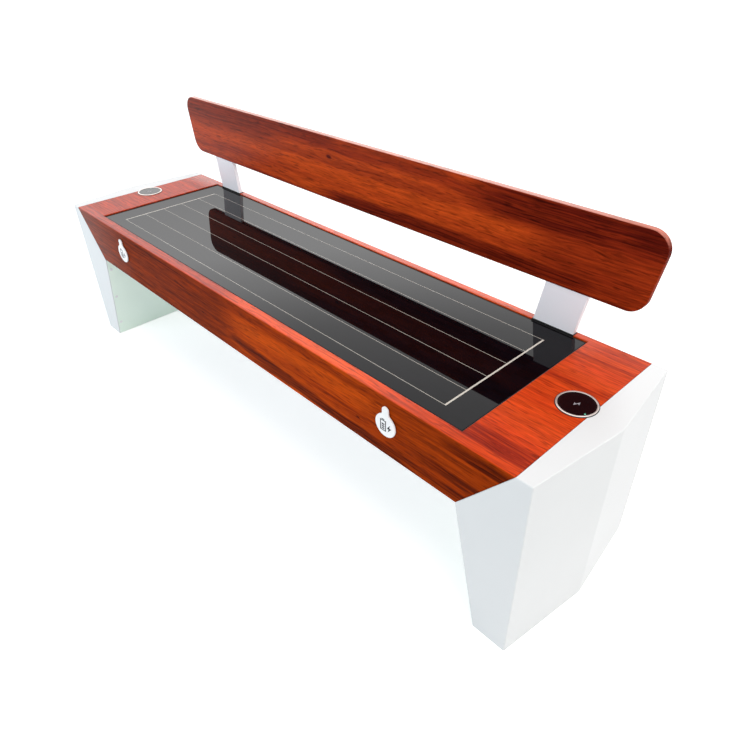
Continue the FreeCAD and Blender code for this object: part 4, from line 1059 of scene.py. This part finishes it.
def make_usb_socket(side_name, side):
    """Bezel and port block behind the cover, with metal shells, contact carriers and gilt contacts."""
    x = side * usb_x
    place = (x, 0, usb_z)
    node = f"usb_{side_name}_"
    bezel_radius, sleeve_radius, bore_radius = (bezel_high.x - bezel_low.x) / 2, 17.5 * mm, 15.5 * mm
    bezel = disc("usb_bezel_" + side_name, place, bezel_radius, bezel_low.y, seat_low.y, "Y")
    combine(bezel, "UNION", disc("sleeve", place, sleeve_radius, seat_low.y - 0.5 * mm, bezel_high.y, "Y"))
    combine(bezel, "DIFFERENCE", disc("bore", place, bore_radius, bezel_low.y - mm, bezel_high.y + mm, "Y"))
    soften(bezel, 0.4 * mm, 3)
    dress(bezel, "black_abs", "black_moulding", node + "bezel")
    port_radius = (port_high.x - port_low.x) / 2
    body = disc("usb_port_block_" + side_name, place, port_radius, port_low.y, port_high.y, "Y")
    # A port's mouth, the wall of its metal shell and the gap round that, in millimetres
    width, height, depth, wall, gap = 6.3, 2.6, 12, 0.35, 0.02
    shells, tongues, contacts = [], [], []
    for z in (usb_z - 5 * mm, usb_z + 5 * mm):
        combine(body, "DIFFERENCE", port_part("mouth", x, z, width, -height, height, -1, depth))
        shell = port_part("shell", x, z, width - gap, gap - height, height - gap, -0.25, depth - 0.05)
        combine(shell, "DIFFERENCE",
                port_part("core", x, z, width - wall, wall - height, height - wall, -1, depth + 1))
        shells.append(shell)
        tongues.append(port_part("tongue", x, z, 5.6, 0.1, 1.9, 3.2, depth - 0.1))
        contacts += [port_part("contact", x + step * mm, z, 0.5, -0.02, 0.12, 3.6, 11)
                     for step in (-3.5, -1.0, 1.0, 3.5)]
    soften(body, 0.25 * mm)
    dress(body, "black_abs", "black_moulding", node + "ports")
    for group, name, look in ((shells, "usb_port_shells_", "port_shell"), (tongues, "usb_tongues_", "tongue"),
                              (contacts, "usb_contacts_", "contact")):
        piece = joined(group, name + side_name)
        soften(piece, 0.06 * mm)
        dress(piece, look, "black_moulding")
    coat_nodes("black_abs", node + "lock_nut")


def round_head(name, radius, height, rounding, steps, corners=48):
    """A fastener's head at the origin, looking up, with its upper edge rounded."""
    head = disc(name, (0, 0, 0), radius, 0, height, corners=corners)
    pick(head, "EDGE", lambda at, way: at.z > height - tiny)
    round_picked(rounding, steps)
    return head


def pan_screw(radius, height):
    """Pan head with a cross recess."""
    head = round_head("screw", radius, height, height * 0.6, 4)
    arm, half, floor = radius * 0.55, radius * 0.11, height * 0.45
    combine(head, "DIFFERENCE", block("slot", (-arm, -half, floor), (arm, half, height * 2)),
            block("slot", (-half, -arm, floor), (half, arm, height * 2)))
    soften(head, 0.08 * mm)
    return head


def make_screws():
    """Pan heads that hold the legs' inner panels, square to them, and the tray under the seat."""
    radius, height = 5 * mm, 1.6 * mm
    lean = math.atan(leg_slope)
    places = []
    for low, high in islands("leg_panel_screws"):
        side = 1 if low.x > 0 else -1
        z = low.z + radius * math.cos(lean) + height * math.sin(lean)
        place = Vector((side * (leg_foot_x - leg_slope * z), (low.y + high.y) / 2, z))
        places.append((place, (-side * math.cos(lean), 0, -math.sin(lean))))
    heads = copies_at(pan_screw(radius, height), "leg_panel_screw_heads", places)
    dress(heads, "painted", "white_pin", "leg_panel_screws")
    places = [(Vector(((low.x + high.x) / 2, (low.y + high.y) / 2, low.z + height)), (0, 0, -1))
              for low, high in islands("bottom_tray_screws")]
    heads = copies_at(pan_screw(radius, height), "tray_screw_heads", places)
    dress(heads, "zinc", "zinc_plated_steel", "bottom_tray_screws")


def make_backrest_fasteners():
    """Button heads with a hexagon socket, and dome rivets with their mandrel's hole, on the rear face."""
    button = round_head("button", 7.5 * mm, 4 * mm, 2.4 * mm, 6, 64)
    combine(button, "DIFFERENCE", disc("socket", (0, 0, 0), 2.9 * mm, 1.6 * mm, 8 * mm, corners=6))
    soften(button, 0.1 * mm)
    rivet = round_head("rivet", 4.5 * mm, 1.2 * mm, 0.9 * mm, 4)
    combine(rivet, "DIFFERENCE", disc("mandrel", (0, 0, 0), 1.3 * mm, 0.7 * mm, 3 * mm, corners=24))
    soften(rivet, 0.08 * mm)
    for head, kind in ((button, "backrest_bolt"), (rivet, "backrest_rivet")):
        places = [(Vector(((low.x + high.x) / 2, rear_board_high.y, (low.z + high.z) / 2)), (0, 1, 0))
                  for low, high in islands(kind + "s")]
        heads = copies_at(head, kind + "_heads", places)
        dress(heads, "stainless", "stainless_steel", kind + "s")


# Operators
class BENCH_OT_stage(bpy.types.Operator):
    """Make the floor, the lamps, the world and the camera"""
    bl_idname = "bench.stage"
    bl_label = "Stage"

    def execute(self, context):
        activate()
        bpy.ops.mesh.primitive_plane_add(size=2 * floor_half_side, location=(0, 0, -0.5 * mm))
        floor = settled("floor")
        floor.data.materials.append(floor_finish(context.scene.bench_colours.floor))
        make_world()
        make_lamp("key", (1.5, -0.1, 3.5), 2.6, 74, "#FFF0EA")
        make_lamp("front", (-1.5, -3.2, 1.1), 2.0, 38, "#E4F3FF", aim_height=0.45)
        make_lamp("side", (3.5, -0.9, 0.8), 1.8, 16, "#FFFCF4")
        make_lamp("left", (-3.6, -0.3, 1.0), 2.0, 9)
        make_lamp("rear", (0.4, 3.6, 1.1), 2.4, 14)
        make_camera()
        context.scene.view_settings.view_transform = "Standard"
        return {"FINISHED"}


class BENCH_OT_seat(bpy.types.Operator):
    """Fold the wood-printed seat with its aprons and the opening for the glass"""
    bl_idname = "bench.seat"
    bl_label = "Seat skin"

    def execute(self, context):
        make_seat_skin(context.scene.bench_sizes)
        return {"FINISHED"}


class BENCH_OT_legs(bpy.types.Operator):
    """Fold the two white legs and their leaning inner panels"""
    bl_idname = "bench.legs"
    bl_label = "Legs"

    def execute(self, context):
        # The inner panels' white is painted lighter and greener than the legs', as painted light under the
        # seat.
        for right, coat, node in ((make_leg_skin(context.scene.bench_sizes), "leg_coat", "shell"),
                                  (make_leg_liner(), "liner_coat_painted_light", "inner_panel")):
            left = mirrored(right, right.name.replace("right", "left"))
            for side_name, piece in (("left", left), ("right", right)):
                dress(piece, coat, "white_powder_coat", f"leg_{side_name}_{node}")
        return {"FINISHED"}


class BENCH_OT_backrest(bpy.types.Operator):
    """Fold the two skins of the backrest"""
    bl_idname = "bench.backrest"
    bl_label = "Backrest"

    def execute(self, context):
        sizes = context.scene.bench_sizes
        make_board_half("backrest_front", "backrest_front_shell", front_board_low, front_board_high, 1, sizes)
        make_board_half("backrest_rear", "backrest_rear_cover", rear_board_low, rear_board_high, -1, sizes)
        return {"FINISHED"}


class BENCH_OT_struts(bpy.types.Operator):
    """Make the flat struts and the seals at their feet"""
    bl_idname = "bench.struts"
    bl_label = "Struts"

    def execute(self, context):
        for side_name, side in both_sides:
            make_strut(side_name, side, context.scene.bench_sizes)
        return {"FINISHED"}


class BENCH_OT_solar_panel(bpy.types.Operator):
    """Make the glass and the rubber round it, and finish the cells under it"""
    bl_idname = "bench.solar_panel"
    bl_label = "Solar panel"

    def execute(self, context):
        glass = block("panel_glass", glass_low, glass_high)
        soften(glass, 0.8 * mm, 3)
        dress(glass, "glass", "toughened_glass", "solar_glass")
        gasket = block("panel_gasket", opening_low, opening_high)
        grow = Vector((0.02 * mm, 0.02 * mm, context.scene.bench_sizes.opening_lip))
        combine(gasket, "DIFFERENCE", block("core", glass_low - grow, glass_high + grow))
        soften(gasket, 0.7 * mm, 3)
        dress(gasket, "gasket", "black_rubber", "glass_gasket")
        coat_nodes("cell", "solar_cell_strips")
        coat_nodes("ribbon", "cell_ribbons")
        coat_nodes("backsheet", "solar_base_panel")
        return {"FINISHED"}


class BENCH_OT_chargers(bpy.types.Operator):
    """Make the two round wireless chargers"""
    bl_idname = "bench.chargers"
    bl_label = "Chargers"

    def execute(self, context):
        for side_name, side in both_sides:
            make_charger(side_name, side, context.scene.bench_sizes)
        return {"FINISHED"}


class BENCH_OT_usb_sockets(bpy.types.Operator):
    """Make the two pairs of USB sockets and their swinging covers"""
    bl_idname = "bench.usb_sockets"
    bl_label = "USB sockets"

    def execute(self, context):
        for side_name, side in both_sides:
            make_usb_socket(side_name, side)
            make_usb_cover(side_name, side)
        return {"FINISHED"}


class BENCH_OT_fasteners(bpy.types.Operator):
    """Make the heads of the screws, bolts and rivets that show"""
    bl_idname = "bench.fasteners"
    bl_label = "Fasteners"

    def execute(self, context):
        make_screws()
        make_backrest_fasteners()
        return {"FINISHED"}


class BENCH_OT_inner_parts(bpy.types.Operator):
    """Finish the frame, the tray and the electrics, which keep their own shapes"""
    bl_idname = "bench.inner_parts"
    bl_label = "Inner parts"

    def execute(self, context):
        coat_nodes("galvanised", "seat_front_rail", "seat_rear_rail", "seat_cross_members",
                   "seat_bottom_tray", "backrest_stiffeners", "battery_straps", "leg_left_base_plate",
                   "leg_right_base_plate", "leg_left_cross_plate", "leg_right_cross_plate")
        coat_nodes("zinc", "frame_bolts", "strut_bolts")
        coat_nodes("black_abs", "solar_junction_box", "cable_clips")
        coat_nodes("battery", "battery_pack")
        coat_nodes("controller", "charge_controller")
        coat_nodes("sheath", "battery_lead", "solar_lead", "usb_leads", "charger_leads")
        return {"FINISHED"}


steps = (BENCH_OT_stage, BENCH_OT_seat, BENCH_OT_legs, BENCH_OT_backrest, BENCH_OT_struts,
         BENCH_OT_solar_panel, BENCH_OT_chargers, BENCH_OT_usb_sockets, BENCH_OT_fasteners,
         BENCH_OT_inner_parts)


class BENCH_PT_panel(bpy.types.Panel):
    """Lists the bench's sizes, colours and making steps"""
    bl_idname = "BENCH_PT_panel"
    bl_label = "Solar charging bench"
    bl_space_type = "VIEW_3D"
    bl_region_type = "UI"
    bl_category = "Bench"

    def draw(self, context):
        for group in (context.scene.bench_sizes, context.scene.bench_colours):
            column = self.layout.column()
            for name in group.__annotations__:
                column.prop(group, name)
        for step in steps:
            self.layout.operator(step.bl_idname)


classes = (BenchSizes, BenchColours, *steps, BENCH_PT_panel)


def register():
    for kind in classes:
        bpy.utils.register_class(kind)
    bpy.types.Scene.bench_sizes = PointerProperty(type=BenchSizes)
    bpy.types.Scene.bench_colours = PointerProperty(type=BenchColours)


def unregister():
    del bpy.types.Scene.bench_colours
    del bpy.types.Scene.bench_sizes
    for kind in reversed(classes):
        bpy.utils.unregister_class(kind)


def main():
    register()
    bpy.ops.bench.stage()
    bpy.ops.bench.seat()
    bpy.ops.bench.legs()
    bpy.ops.bench.backrest()
    bpy.ops.bench.struts()
    bpy.ops.bench.solar_panel()
    bpy.ops.bench.chargers()
    bpy.ops.bench.usb_sockets()
    bpy.ops.bench.fasteners()
    bpy.ops.bench.inner_parts()


if __name__ == "__main__":
    main()
